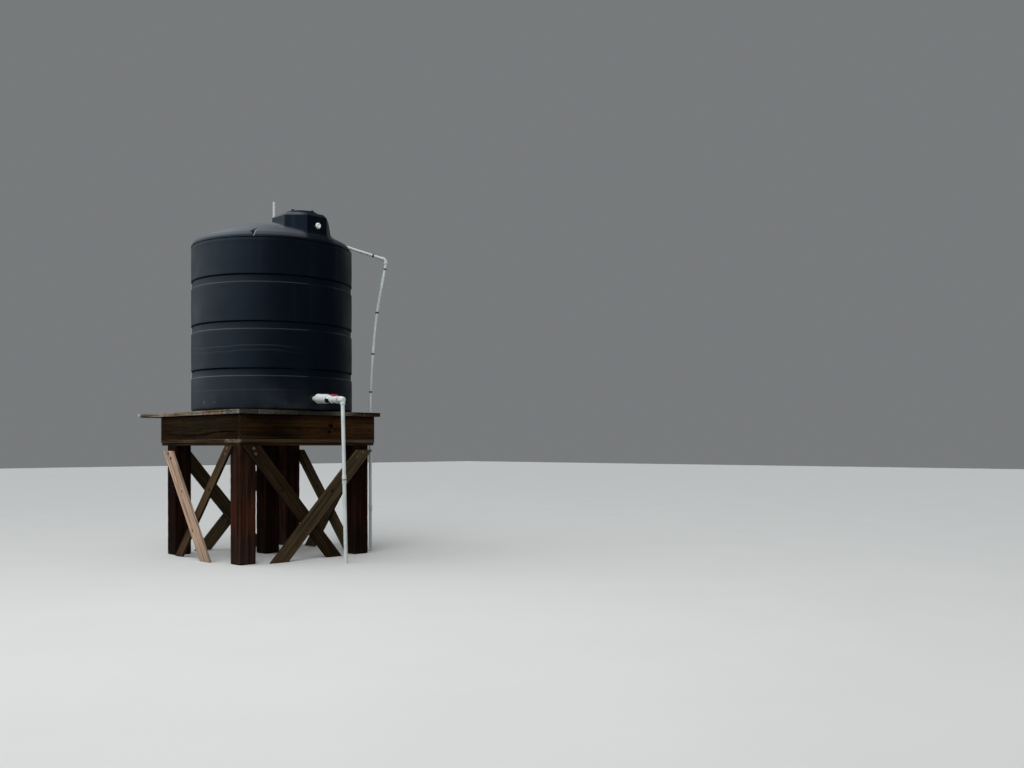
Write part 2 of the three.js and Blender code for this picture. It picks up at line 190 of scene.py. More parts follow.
def to_grid(rings, points):
    """Faces between rings of points that follow each other, with both ends closed."""
    i = np.arange(rings - 1)[:, None] * points
    j = np.arange(points)[None, :]
    k = (j + 1) % points
    quads = np.stack([i + j, i + k, i + points + k, i + points + j], -1).reshape(-1, 4).tolist()
    last = (rings - 1) * points
    return quads + [list(range(points - 1, -1, -1)), list(range(last, last + points))]


def signed_volume(places, faces):
    """Six times the volume inside a closed form, below 0 where its faces look inwards."""
    quads = np.array([face for face in faces if len(face) == 4])
    a, b, c, d = (places[quads[:, i]] for i in range(4))
    fans = [(a, b, c), (a, c, d)]
    for face in faces:
        if len(face) != 4:
            fan = places[face]
            fans.append((fan[:1], fan[1:-1], fan[2:]))
    return sum(np.sum(first * np.cross(second, third)) for first, second, third in fans)


class Shape:
    """Closed forms gathered into one piece, with a material index and point layers for each."""

    def __init__(self):
        self.places = []
        self.faces = []
        self.slots = []
        self.layers = {}
        self.count = 0

    def rings(self, rings, slot=0, layers=None):
        """Add a form from an array of rings, by points, by x y z."""
        rings = np.asarray(rings, float)
        places = rings.reshape(-1, 3)
        faces = to_grid(*rings.shape[:2])
        if signed_volume(places, faces) < 0:
            faces = [face[::-1] for face in faces]
        self.faces += [[index + self.count for index in face] for face in faces]
        self.slots += [slot] * len(faces)
        self.places.append(places)
        for key, values in (layers or {}).items():
            self.layers.setdefault(key, []).append(values)
        self.count += len(places)
        return self

    def turned(self, origin, axis, profile, sides, slot=0):
        """Add a turned form."""
        return self.rings(turned(origin, axis, profile, sides), slot)

    def piece(self, name, materials, slot, replaces=(), body="tower", angle=38):
        """Make the piece's object: it rides on its body and stands for its solids."""
        mesh = bpy.data.meshes.new(name)
        mesh.from_pydata(np.concatenate(self.places).tolist(), [], self.faces)
        for material in materials:
            mesh.materials.append(material)
        mesh.polygons.foreach_set("material_index", self.slots)
        mesh.shade_smooth()
        mesh.set_sharp_from_angle(angle=math.radians(angle))
        for key, parts in self.layers.items():
            values = np.concatenate(parts).astype(np.float32)
            flat = values.ndim == 1
            layer = mesh.attributes.new(key, "FLOAT" if flat else "FLOAT_VECTOR", "POINT")
            layer.data.foreach_set("value" if flat else "vector", values.ravel())
        piece = bpy.data.objects.new(name, mesh)
        bpy.context.scene.collection.objects.link(piece)
        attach(piece, body)
        if replaces:
            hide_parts(*replaces)


def bent(start, corner, end, s):
    """A point of the curve that leaves the start towards the corner and ends coming from it."""
    return (1 - s) ** 2 * start + 2 * s * (1 - s) * corner + s * s * end


def rounded(points, radii, steps=4):
    """A line of 2-D points, with a smooth bend of its own size at each inner point."""
    points = [np.array(p, float) for p in points]
    radii = np.broadcast_to(radii, len(points))
    out = [points[0]]
    for before, here, after, radius in zip(points, points[1:], points[2:], radii[1:]):
        sizes = np.linalg.norm(before - here), np.linalg.norm(after - here)
        reach = min(radius, 0.48 * sizes[0], 0.48 * sizes[1])
        start = here + (before - here) / sizes[0] * reach
        end = here + (after - here) / sizes[1] * reach
        out += [bent(start, here, end, k / steps) for k in range(steps + 1)]
    out.append(points[-1])
    return out


def axis_frame(axis):
    """Two directions square to an axis."""
    axis = np.array(axis, float)
    helper = np.array([0, 0, 1.0]) if abs(axis[2]) < 0.9 else np.array([1.0, 0, 0])
    side = np.cross(helper, axis)
    side /= np.linalg.norm(side)
    return side, np.cross(axis, side)


def turned(origin, axis, profile, sides, twist=0.0):
    """Rings of a turned form: profile holds (distance along the axis, radius) pairs."""
    origin = np.array(origin, float)
    axis = np.array(axis, float)
    axis /= np.linalg.norm(axis)
    u, v = axis_frame(axis)
    angles = turns(sides) + twist
    around = np.cos(angles)[:, None] * u + np.sin(angles)[:, None] * v
    return np.array([origin + axis * d + around * r for d, r in profile])


def swept(path, radius, sides):
    """Rings of a round form along a path."""
    path = np.array([list(p) for p in path], float)
    tangents = np.gradient(path, axis=0)
    tangents /= np.linalg.norm(tangents, axis=1)[:, None]
    u, _ = axis_frame(tangents[0])
    angles = turns(sides)
    rings = []
    for place, tangent in zip(path, tangents):
        u = u - tangent * np.dot(u, tangent)
        u /= np.linalg.norm(u)
        v = np.cross(tangent, u)
        rings.append(place + radius * (np.cos(angles)[:, None] * u + np.sin(angles)[:, None] * v))
    return np.array(rings)


def bend(start, corner, end, steps=10):
    """Points of a smooth bend from start to end that leaves both towards the corner."""
    pull = 0.55
    a = start.lerp(corner, pull)
    b = end.lerp(corner, pull)
    points = []
    for s in (k / steps for k in range(steps + 1)):
        near_start = (1 - s) ** 3 * start + 3 * s * (1 - s) ** 2 * a
        points.append(near_start + 3 * s * s * (1 - s) * b + s ** 3 * end)
    return points


class Nodes:
    """The node tree of a material or of the world, with short calls for the nodes that they share."""

    def __init__(self, owner):
        owner.use_nodes = True
        self.owner = owner
        self.tree = owner.node_tree

    def add(self, kind, inputs, **settings):
        node = self.tree.nodes.new(kind)
        for key, value in settings.items():
            setattr(node, key, value)
        for key, value in inputs.items():
            self.put(node.inputs[key], value)
        return node

    def put(self, socket, value):
        """Link an output to a socket, or set the socket's own value."""
        if isinstance(value, bpy.types.NodeSocket):
            self.tree.links.new(value, socket)
        elif socket.type == "RGBA":
            socket.default_value = (*value, 1.0)
        else:
            socket.default_value = value

    def math(self, operation, a, b=0.0, clamp=False):
        return self.add("ShaderNodeMath", {0: a, 1: b}, operation=operation, use_clamp=clamp).outputs[0]

    def plus(self, a, b, clamp=False):
        return self.math("ADD", a, b, clamp)

    def times(self, a, b, clamp=False):
        return self.math("MULTIPLY", a, b, clamp)

    def attribute(self, name, output="Vector"):
        return self.add("ShaderNodeAttribute", {}, attribute_name=name).outputs[output]

    def place(self):
        return self.add("ShaderNodeNewGeometry", {}).outputs["Position"]

    def normal_z(self):
        return self.split(self.add("ShaderNodeNewGeometry", {}).outputs["Normal"])["Z"]

    def split(self, vector):
        return self.add("ShaderNodeSeparateXYZ", {0: vector}).outputs

    def scaled(self, vector, scale, shift=(0, 0, 0)):
        return self.add("ShaderNodeMapping", {"Vector": vector, "Scale": scale, "Location": shift}).outputs[0]

    def noise(self, vector, scale=1.0, detail=2.0, rough=0.5, distortion=0.0):
        inputs = {"Vector": vector, "Scale": scale, "Detail": detail, "Roughness": rough}
        inputs["Distortion"] = distortion
        return self.add("ShaderNodeTexNoise", inputs).outputs["Fac"]

    def span(self, value, low, high, to_low=0.0, to_high=1.0, kind="SMOOTHSTEP"):
        inputs = {"Value": value, "From Min": low, "From Max": high, "To Min": to_low, "To Max": to_high}
        return self.add("ShaderNodeMapRange", inputs, interpolation_type=kind).outputs[0]

    def mix(self, share, a, b, blend_type="MIX"):
        node = self.add("ShaderNodeMix", {}, data_type="RGBA", blend_type=blend_type)
        for socket, value in zip([s for s in node.inputs if s.enabled], (share, a, b)):
            self.put(socket, value)
        return [s for s in node.outputs if s.enabled][0]

    def scale_colour(self, colour, factor):
        """Colour times a number, as a vector multiplication."""
        return self.add("ShaderNodeVectorMath", {0: colour, "Scale": factor}, operation="SCALE").outputs[0]

    def bump(self, height, distance):
        inputs = {"Height": height, "Distance": distance, "Strength": 1.0}
        return self.add("ShaderNodeBump", inputs).outputs[0]

    def finish(self, **inputs):
        """Set the shader's inputs by name and give back the material."""
        for key, value in inputs.items():
            self.put(self.tree.nodes["Principled BSDF"].inputs[key.replace("_", " ")], value)
        return self.owner


def wood(name, early, late, stain, grey, ring_pitch, contrast, roughness, bump):
    """Sawn timber: growth rings round each board's pith, long streaks, stains, knots and splits, with painted
    shade inside the splits and on faces that look down.
    """
    n = Nodes(bpy.data.materials.new(name))
    grain = n.attribute("grain")
    tone, red, weathered = n.split(n.attribute("tint"))
    knot = n.attribute("knot", "Fac")
    _, across, depth = n.split(grain)
    wobble = n.noise(n.scaled(grain, (0.9, 5.0, 5.0)))
    radius = n.math("SQRT", n.plus(n.math("POWER", across, 2.0), n.math("POWER", depth, 2.0)))
    radius = n.plus(radius, n.times(wobble, 0.05))

    def ring_share(pitch, foot, crest):
        phase = n.math("FRACT", n.math("DIVIDE", radius, pitch))
        return n.times(n.span(phase, foot, crest), n.span(phase, 1.0, crest))

    late_share = ring_share(ring_pitch, 0.25, 0.9)
    streak = n.noise(n.scaled(grain, (1.1, 34.0, 34.0)), detail=4.0, rough=0.6)
    fibre = n.noise(n.scaled(grain, (7.0, 330.0, 330.0)))
    blotch = n.noise(n.scaled(grain, (2.2, 6.0, 6.0), (3.1, 1.7, 0.4)), detail=3.0, distortion=0.6)
    share = n.plus(n.times(late_share, 0.42), n.times(ring_share(ring_pitch * 4.3, 0.2, 0.85), 0.38))
    share = n.plus(share, n.times(n.math("SUBTRACT", fibre, 0.5), 0.5))
    share = n.times(share, contrast, clamp=True)
    colour = n.mix(share, early, late)
    colour = n.scale_colour(colour, n.span(streak, 0.30, 0.72, 1.0 - 0.45 * contrast, 1.0 + 0.4 * contrast))
    colour = n.mix(n.span(blotch, 0.48, 0.78, 0.0, 0.8), colour, stain)
    colour = n.mix(red, colour, n.mix(1.0, colour, (1.55, 0.86, 0.62), "MULTIPLY"))
    pale = n.mix(share, grey, tuple(0.55 * c for c in grey))
    pale = n.scale_colour(pale, n.span(streak, 0.3, 0.7, 0.7, 1.2))
    colour = n.mix(n.times(weathered, n.span(blotch, 0.2, 0.6, 0.55, 1.0), clamp=True), colour, pale)
    colour = n.scale_colour(colour, tone)
    knot_rings = n.span(n.math("SINE", n.times(knot, 17.0)), -1.0, 1.0, 0.35, 1.0)
    knot_colour = n.scale_colour(tuple(0.42 * c for c in late), knot_rings)
    colour = n.mix(n.span(knot, 1.15, 0.85), colour, knot_colour)
    halo = n.times(n.span(knot, 1.0, 1.2), n.span(knot, 1.9, 1.1))
    colour = n.mix(n.times(halo, 0.45), colour, n.scale_colour(colour, 0.45))
    # Painted shade: faces that look down are darkened to 30 percent.
    colour = n.scale_colour(colour, n.span(n.normal_z(), -0.35, -0.85, 1.0, 0.30))
    # Painted shade: splits and cracks are darkened inside, towards a tenth of the late wood.
    colour = n.mix(n.attribute("split_shade", "Fac"), colour, tuple(0.10 * c for c in late))
    height = n.plus(n.times(fibre, 0.5), n.times(late_share, 0.35))
    height = n.plus(height, n.times(streak, 0.8))
    rough = n.span(streak, 0.3, 0.7, roughness - 0.08, min(roughness + 0.07, 1.0))
    return n.finish(Base_Color=colour, Roughness=rough, Normal=n.bump(height, bump), Specular_IOR_Level=0.03)


def direction(azimuth, elevation):
    a, e = math.radians(azimuth), math.radians(elevation)
    return (math.cos(e) * math.cos(a), math.cos(e) * math.sin(a), math.sin(e))


def tank_plastic():
    """Black moulded plastic: satin, lightened where it faces up by a dusty coat and a painted sky sheen, with
    faint streaks and dried water lines. Painted shade darkens the faces that look down, the dome in front of
    the turret and the tie notches' wide facets; their narrow facets get a painted highlight.
    """
    n = Nodes(bpy.data.materials.new("black_tank_plastic"))
    place = n.place()
    x, y, z = n.split(place)
    up = n.normal_z()
    mottle = n.noise(place, scale=2.3, detail=4.0, rough=0.6)
    speck = n.noise(place, scale=160.0)
    streak = n.noise(n.scaled(place, (9.0, 9.0, 0.35)), detail=3.0, rough=0.55)
    haze = n.noise(place, scale=1.3, detail=1.0)
    # Painted shade in front of the turret: the dusty sheen there drops to 12 percent.
    in_shade = n.times(n.span(x, -0.14, -0.04), n.span(x, 0.42, 0.30))
    in_shade = n.times(in_shade, n.span(y, -0.84, -0.96))
    # A dusty coat and a painted sky sheen on faces that look up, weaker towards the front and the right.
    dust_and_sheen = n.span(up, 0.22, 0.84)
    for share in (
            n.span(mottle, 0.2, 0.8, 0.8, 1.0),
            n.span(z, DECK_TOP + SHOULDER_Z - 0.01, DECK_TOP + SHOULDER_Z + 0.05, 0.42, 1.0),
            n.span(haze, 0.3, 0.7, 0.85, 1.0),
            n.span(y, -0.40, -1.00, 1.0, 0.55),
            n.span(in_shade, 0.0, 1.0, 1.0, 0.12),
            n.span(x, 0.1, 0.9, 1.0, 0.62)):
        dust_and_sheen = n.times(dust_and_sheen, share)
    # Painted shade on each notch's wide facet, and a painted highlight on its narrow one.
    notch_shading = n.attribute("notch_shading", "Fac")
    dust_and_sheen = n.times(dust_and_sheen, n.math("SUBTRACT", 1.0, notch_shading, clamp=True))
    dust_and_sheen = n.plus(dust_and_sheen, n.times(notch_shading, -0.8, clamp=True), clamp=True)
    colour = n.mix(mottle, (0.0016, 0.0038, 0.0088), (0.0040, 0.0066, 0.0120))
    colour = n.mix(dust_and_sheen, colour, (0.208, 0.219, 0.250))
    colour = n.mix(n.times(notch_shading, -0.25, clamp=True), colour, (0.33, 0.35, 0.38))
    runs = n.times(n.span(streak, 0.56, 0.76), n.span(z, DECK_TOP + 0.8, DECK_TOP + 2.4, 0.03, 0.16))
    colour = n.mix(runs, colour, (0.040, 0.044, 0.052))
    low_dust = n.times(n.span(z, DECK_TOP + 0.55, DECK_TOP), n.span(mottle, 0.35, 0.7, 0.1, 0.5))
    colour = n.mix(low_dust, colour, (0.045, 0.047, 0.050))
    sway = n.noise(n.scaled(place, (1.5, 1.5, 0.0)), detail=1.0)
    for height, reach, share in ((0.86, 0.16, 0.36), (0.80, 0.22, 0.25), (0.272, 0.03, 0.36)):
        line = n.plus(DECK_TOP + height, n.times(n.math("SUBTRACT", sway, 0.5), reach))
        off = n.math("ABSOLUTE", n.math("SUBTRACT", z, line))
        faint = n.times(n.span(off, 0.010, 0.0), n.span(x, 0.05, -0.75, 0.0, share))
        colour = n.mix(faint, colour, (0.07, 0.072, 0.078))
    for azimuth, size in ((184, 0.034), (195, 0.020)):
        spot = TANK_AXIS + TANK_R * Vector(direction(azimuth, 0)) + Vector((0, 0, 0.112))
        away = n.add("ShaderNodeVectorMath", {0: place, 1: spot}, operation="DISTANCE").outputs["Value"]
        colour = n.mix(n.span(away, size, 0.004, 0.0, 0.42), colour, (0.13, 0.14, 0.15))
    # Painted shade: faces that look down, such as the bands' upper ledges, are darkened to 15 percent.
    colour = n.scale_colour(colour, n.span(up, -0.15, -0.50, 1.0, 0.15))
    height = n.plus(n.times(speck, 0.35), n.times(mottle, 3.0))
    return n.finish(Base_Color=colour, Roughness=n.span(mottle, 0.25, 0.75, 0.40, 0.52),
                    Normal=n.bump(height, 0.0012), Specular_IOR_Level=0.45, Specular_Tint=(0.62, 0.82, 1.0))


def pipe_plastic(name, light, dull):
    """White pipe plastic: slightly glossy, yellowed and dirty in patches and streaks, with a painted
    highlight where it faces up, and dirt and painted shade where it faces down.
    """
    n = Nodes(bpy.data.materials.new(name))
    place = n.place()
    patch = n.noise(place, scale=4.0, detail=3.0, rough=0.6)
    streak = n.noise(n.scaled(place, (45.0, 45.0, 3.0)), detail=3.0)
    speck = n.noise(place, scale=240.0, detail=1.0)
    colour = n.mix(n.span(patch, 0.35, 0.7), light, dull)
    colour = n.mix(n.span(streak, 0.56, 0.75, 0.0, 0.25), colour, (0.36, 0.36, 0.32))
    # Painted highlight: faces that look up are whitened.
    colour = n.mix(n.span(n.normal_z(), 0.15, 0.75, 0.0, 0.8), colour, (0.98, 0.98, 0.97))
    colour = n.mix(n.span(speck, 0.70, 0.78, 0.0, 0.4), colour, (0.20, 0.19, 0.16))
    # Dirt and painted shade: faces that look down are darkened to greenish grey.
    colour = n.mix(n.span(n.normal_z(), 0.05, -0.6, 0.0, 0.75), colour, (0.24, 0.28, 0.25))
    rough = n.span(patch, 0.3, 0.7, 0.30, 0.46)
    return n.finish(Base_Color=colour, Roughness=rough, Normal=n.bump(patch, 0.0008))


def plain_plastic(name, colour, worn, roughness):
    """A moulded or rubbery finish of one hue, worn in patches."""
    n = Nodes(bpy.data.materials.new(name))
    patch = n.noise(n.place(), scale=38.0, detail=3.0, rough=0.6)
    speck = n.noise(n.place(), scale=420.0, detail=1.0)
    mixed = n.mix(n.span(patch, 0.45, 0.75, 0.0, 0.7), colour, worn)
    rough = n.span(patch, 0.3, 0.7, roughness - 0.08, roughness + 0.1)
    return n.finish(Base_Color=mixed, Roughness=rough, Normal=n.bump(speck, 0.0003))


def rusty_steel():
    """Bolt heads and straps: dull zinc under brown rust."""
    n = Nodes(bpy.data.materials.new("rusty_steel"))
    patch = n.noise(n.place(), scale=70.0, detail=4.0, rough=0.65)
    rust = n.span(patch, 0.38, 0.6)
    colour = n.mix(rust, (0.23, 0.23, 0.24), (0.14, 0.055, 0.028))
    metal = n.span(rust, 0.0, 1.0, 0.85, 0.05)
    rough = n.span(rust, 0.0, 1.0, 0.45, 0.9)
    return n.finish(Base_Color=colour, Metallic=metal, Roughness=rough, Normal=n.bump(patch, 0.0008))


# Colours of early wood, late wood, stains and weathered wood, then ring pitch, contrast, roughness, bump
POST_WOOD = wood("post_wood", (0.050, 0.029, 0.021), (0.020, 0.0105, 0.0075), (0.012, 0.008, 0.006),
                 (0.13, 0.11, 0.10), 0.014, 1.1, 0.90, 0.0030)
BOARD_WOOD = wood("board_wood", (0.042, 0.029, 0.0125), (0.017, 0.0098, 0.0038), (0.014, 0.0100, 0.0045),
                  (0.15, 0.130, 0.105), 0.013, 1.0, 0.82, 0.0018)
DECK_WOOD = wood("deck_wood", (0.21, 0.175, 0.125), (0.095, 0.070, 0.046), (0.11, 0.083, 0.058),
                 (0.36, 0.34, 0.29), 0.009, 0.9, 0.92, 0.0024)
BRACE_WOOD = wood("brace_wood", (0.088, 0.068, 0.037), (0.037, 0.026, 0.0125), (0.036, 0.027, 0.015),
                  (0.19, 0.165, 0.115), 0.010, 0.9, 0.85, 0.0016)
# The prop's wood is painted many times paler than the other timber: painted sunlight.
SUNLIT_PROP_WOOD = wood("sunlit_prop_wood", (0.72, 0.50, 0.36), (0.38, 0.22, 0.14), (0.30, 0.19, 0.13),
                 (0.52, 0.44, 0.36), 0.010, 1.0, 0.80, 0.0018)
TANK_PLASTIC = tank_plastic()
WHITE_PLASTIC = pipe_plastic("white_pipe_plastic", (0.68, 0.74, 0.74), (0.55, 0.60, 0.59))
FITTING_PLASTIC = pipe_plastic("white_fitting_plastic", (0.96, 0.97, 0.96), (0.88, 0.90, 0.89))
RED_PLASTIC = plain_plastic("red_handle_plastic", (0.50, 0.040, 0.056), (0.36, 0.07, 0.07), 0.42)
BLACK_RUBBER = plain_plastic("black_rubber", (0.012, 0.012, 0.013), (0.03, 0.03, 0.03), 0.6)
STEEL = rusty_steel()
NAIL_STEEL = plain_plastic("rusted_nails", (0.030, 0.020, 0.014), (0.075, 0.040, 0.024), 0.85)


def corners_of(node):
    """A timber solid's eight corners, as [end][across][depth], slanting planks included."""
    co = np.array([v.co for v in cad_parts[node].data.vertices], float)
    slanting = node.startswith(("brace", "prop"))
    length = 2 if slanting else int(np.argmax(np.ptp(co, axis=0)))
    sides = [i for i in range(3) if i != length]
    grid = np.zeros((2, 2, 2, 3))
    for end, level in enumerate((co[:, length].min(), co[:, length].max())):
        group = co[np.abs(co[:, length] - level) < 0.001]
        if end == 0:
            sides.sort(key=lambda i: -np.ptp(group[:, i]))
        middle = (group.min(0) + group.max(0)) / 2
        half = (group.max(0) - group.min(0)) / 2
        signs = (group - middle)[:, sides] / half[sides]
        for a in (0, 1):
            for b in (0, 1):
                grid[end, a, b] = group[np.argmax(signs @ np.array([2 * a - 1, 2 * b - 1]))]
    return grid


def inside(grid, s, a, b):
    """Points in a plank's block: s along, a across and b deep, each from 0 to 1."""
    s, a, b = (np.asarray(v, float)[..., None] for v in (s, a, b))
    out = 0
    for i, along in ((0, 1 - s), (1, s)):
        for j, across in ((0, 1 - a), (1, a)):
            for k, deep in ((0, 1 - b), (1, b)):
                out = out + along * across * deep * grid[i, j, k]
    return out


def part_of(grid, s=(0, 1), a=(0, 1), b=(0, 1)):
    """The corners of a smaller block inside a plank's block."""
    return inside(grid, *np.meshgrid(s, a, b, indexing="ij"))


def plank_frame(grid):
    """A plank's start, its directions along, across and deep, its length and its other half sizes."""
    start, end = grid.mean(axis=(1, 2))
    length = float(np.linalg.norm(end - start))
    axis = (end - start) / length
    wide = grid[0, 1].mean(0) - grid[0, 0].mean(0)
    wide = wide - axis * np.dot(wide, axis)
    width = float(np.linalg.norm(wide))
    wide = wide / width
    thick = np.cross(axis, wide)
    depth = float(np.dot((grid[0, :, 1] - grid[0, :, 0]).mean(0), thick))
    return start, (axis, wide, thick * np.sign(depth)), length, width / 2, abs(depth) / 2


def rectangle(half_w, half_t, radius, step):
    """Points round a rectangle with rounded corners, and their outward directions."""
    points, outward = [], []
    bends = 3
    for k, (sw, st) in enumerate(((1, 1), (-1, 1), (-1, -1), (1, -1))):
        for angle in ((k + i / bends) * math.pi / 2 for i in range(bends + 1)):
            c, s = math.cos(angle), math.sin(angle)
            points.append((sw * (half_w - radius) + radius * c, st * (half_t - radius) + radius * s))
            outward.append((c, s))
        span = 2 * ((half_w if k % 2 == 0 else half_t) - radius)
        count = max(1, round(span / step))
        away = np.array([-s, c])
        corner = np.array(points[-1])
        points += [tuple(corner + away * span * i / count) for i in range(1, count)]
        outward += [(c, s)] * (count - 1)
    return np.array(points), np.array(outward)


def add_plank(shape, grid, seed, edge=0.004, step=0.03, across=0.016, tone=(1.0, 0.0, 0.0),
              pith=(0.03, -0.11), knots=(), eyes=(), cracks=(), splits=0, deep=0.006, wear=1.0, tints=None):
    """Add one timber with worn edges, knots, grain eyes, cracks and drying splits, whose insides carry
    painted shade. Knots, eyes and cracks are world points with a size; a split runs along the grain on a face
    picked by the seed."""
    origin, (axis, wide, thick), length, half_w, half_t = plank_frame(grid)
    edge = min(edge, 0.45 * half_t)
    outline, outward = rectangle(half_w, half_t, edge, across)
    turn = np.linspace(0, math.pi / 2, 4)
    start, less = edge * (1 - np.cos(turn)), edge * (1 - np.sin(turn))
    middle = np.linspace(edge, length - edge, max(3, round((length - 2 * edge) / step)) + 1)[1:-1]
    stations = np.concatenate([start, middle, length - start[::-1]])
    shrink = np.concatenate([less, np.zeros(len(middle)), less[::-1]])

    def by_station(values):
        return np.repeat(values, len(outline))

    s_all, less = by_station(stations), by_station(shrink)
    w_all, t_all = np.tile(outline.T, len(stations))
    facing_w, facing_t = np.tile(outward.T, len(stations))
    w_all = w_all * (half_w - less) / half_w
    t_all = t_all * (half_t - less) / half_t

    bow = by_station(wavy(stations, seed, 1.7))
    nick = by_station(wavy(stations, seed + 50, 11.0))
    corner = np.minimum(1.0, 4 * np.abs(facing_w * facing_t))
    sink = 0.0004 + 0.0006 * wear * (1 + bow) + 0.0035 * wear * corner * np.maximum(0, nick)
    # Painted shade inside the splits and cracks, from 0 to 1
    split_shade = np.zeros(len(s_all))
    rng = np.random.default_rng(1000 + seed)
    for _ in range(splits):
        face = rng.integers(4)
        facing, cross, half = ((facing_t, w_all, half_w), (facing_w, t_all, half_t))[face % 2]
        shown = facing * (1 if face < 2 else -1) > 0.9
        centre, reach = rng.uniform(0.08, 0.92) * length, rng.uniform(0.12, 0.34) * length
        level = rng.uniform(-0.7, 0.7) * half
        slide = level + 0.012 * by_station(wavy(stations, seed + face, 3.1))
        taper = np.clip(1 - ((s_all - centre) / reach) ** 2, 0, 1)
        near = tent(cross - slide, 0.75 * across) * shown * taper
        sink = sink + deep * near
        split_shade = np.maximum(split_shade, near ** 0.5 * 0.9)
    for points, reach, depth in cracks:
        line = (np.array(points) - origin) @ np.array([axis, wide]).T
        line = line[np.argsort(line[:, 0])]
        level = np.interp(s_all, *line.T) + 0.006 * nick
        tail = ramp(np.minimum(s_all - line[0, 0], line[-1, 0] - s_all), 0, 0.12)
        near = tent(w_all - level, reach) * (np.abs(facing_t) > 0.9) * tail
        sink = sink + depth * near
        split_shade = np.maximum(split_shade, near ** 0.6)
    w_in = w_all - facing_w * sink
    t_in = t_all - facing_t * sink
    places = inside(grid, s_all / length, 0.5 + 0.5 * w_in / half_w, 0.5 + 0.5 * t_in / half_t)

    knot = np.full(len(places), 3.0)
    lift = np.zeros(len(places))
    for centre, size in knots:
        away = places - np.array(centre)
        distance = np.sqrt((away @ axis / 1.3) ** 2 + (away @ wide) ** 2 + (away @ thick) ** 2)
        knot = np.minimum(knot, distance / size)
        lift = lift + 1.6 * size * bell(distance, 0, 1.8 * size)
    for centre, long_size, wide_size, height in eyes:
        away = places - np.array(centre)
        lift = lift + height * bell(away @ axis, 0, long_size) * bell(away @ wide, 0, wide_size)
    along, local_w, local_t = ((places - origin) @ np.array([axis, wide, thick]).T).T
    grain = np.stack([along + 10.0 * seed, local_w - pith[0], local_t - pith[1] + lift], -1)
    tint = np.tile(np.array(tone, float), (len(places), 1))
    if tints:
        tints(*places.T, *tint.T)
    layers = {"grain": grain, "tint": tint, "knot": knot, "split_shade": split_shade}
    shape.rings(places.reshape(len(stations), len(outline), 3), layers=layers)


def timber(node, finish, slot, seed, grid=None, **looks):
    """One plank as a piece of its own, in the place of its solid."""
    shape = Shape()
    add_plank(shape, corners_of(node) if grid is None else grid, seed, **looks)
    shape.piece(f"timber_{node}", [finish], slot, [node])


def post_tints(x, y, z, tone, red, grey):
    """Palest and reddest at knee height, grey near the ground."""
    red[:] = 0.35 + 0.5 * bell(z, 0.62, 0.22)
    tone *= 0.85 + 0.25 * bell(z, 0.62, 0.3)
    grey[:] = 0.25 * np.exp(-z / 0.18)


def build_posts():
    # Painted shade: the front right, back left and centre posts get about half the tone of the other two.
    tones_with_painted_shade = {"post_front_left": 0.66, "post_front_right": 0.32, "post_back_left": 0.30,
             "post_back_right": 0.60, "post_centre": 0.28}
    for i, (name, tone) in enumerate(tones_with_painted_shade.items()):
        grid = part_of(corners_of(name), s=(0, 1.01))
        timber(name, POST_WOOD, "post_timber", SEEDS["post"] + i, grid, edge=0.016, across=0.012,
               tone=(tone, 0.4, 0.0), pith=(0.01, -0.015), splits=14, deep=0.011, wear=2.0, tints=post_tints)


def cap_tints(x, y, z, tone, red, grey):
    """The front cap is pinkish at its left end, painted paler and brighter there as painted sunlight, greyer
    at the sides and redder in the middle.
    """
    # Painted sunlight on the left end: greyer and brighter.
    end = bell(x, -1.07, 0.012)
    grey[:] = 0.15 + 0.4 * end + 0.35 * bell(x, 0.95, 0.3)
    red[:] = 0.25 + 0.55 * bell(x, 0.15, 0.35)
    tone *= 0.92 + 0.65 * end


def build_caps():
    """Each cap is two planks laid on each other, the lower one a little narrower and darker."""
    for i, name in enumerate(("cap_front", "cap_left", "cap_right", "cap_back", "cap_middle")):
        grid = corners_of(name)
        low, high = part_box(name)
        inset = 0.012 / min(high.x - low.x, high.y - low.y)
        lower = part_of(grid, s=(0.002, 0.998), a=(inset, 1 - inset), b=(0, CAP_SHARE + 0.01))
        upper = part_of(grid, b=(CAP_SHARE, 1.03))
        tints = cap_tints if name == "cap_front" else None
        shape = Shape()
        add_plank(shape, lower, SEEDS["lower_cap"] + i, step=0.05, across=0.02, tone=(0.85, 0.30, 0.0),
                  splits=3, wear=0.5)
        add_plank(shape, upper, SEEDS["upper_cap"] + i, edge=0.005, step=0.04, across=0.02,
                  tone=(1.15, 0.45, 0.25), splits=4, wear=0.5, tints=tints)
        shape.piece(f"timber_{name}", [BOARD_WOOD], "board_timber", [name])


# Marks on the rim boards' outer faces: the place along the board and the height, then sizes
RIM_KNOTS = {
    "rim_front": [(0.325, 1.795, 0.026), (0.300, 1.712, 0.022), (0.385, 1.742, 0.013), (-0.62, 1.84, 0.012)],
    "rim_left": [(-0.62, 1.70, 0.017), (0.42, 1.86, 0.013)],
    "rim_back": [(0.4, 1.76, 0.02), (-0.5, 1.70, 0.016)],
    "rim_right": [(0.3, 1.80, 0.02), (-0.6, 1.72, 0.014)],
}
RIM_EYES = {
    "rim_front": [(0.80, 1.730, 0.15, 0.030, 0.085), (0.16, 1.735, 0.12, 0.026, 0.075),
                  (-0.3, 1.76, 0.3, 0.04, 0.04)],
    "rim_left": [(0.55, 1.72, 0.35, 0.04, 0.035), (-0.35, 1.73, 0.30, 0.03, 0.05)],
    "rim_back": [(-0.1, 1.78, 0.3, 0.05, 0.05)],
    "rim_right": [(-0.1, 1.76, 0.3, 0.05, 0.05)],
}
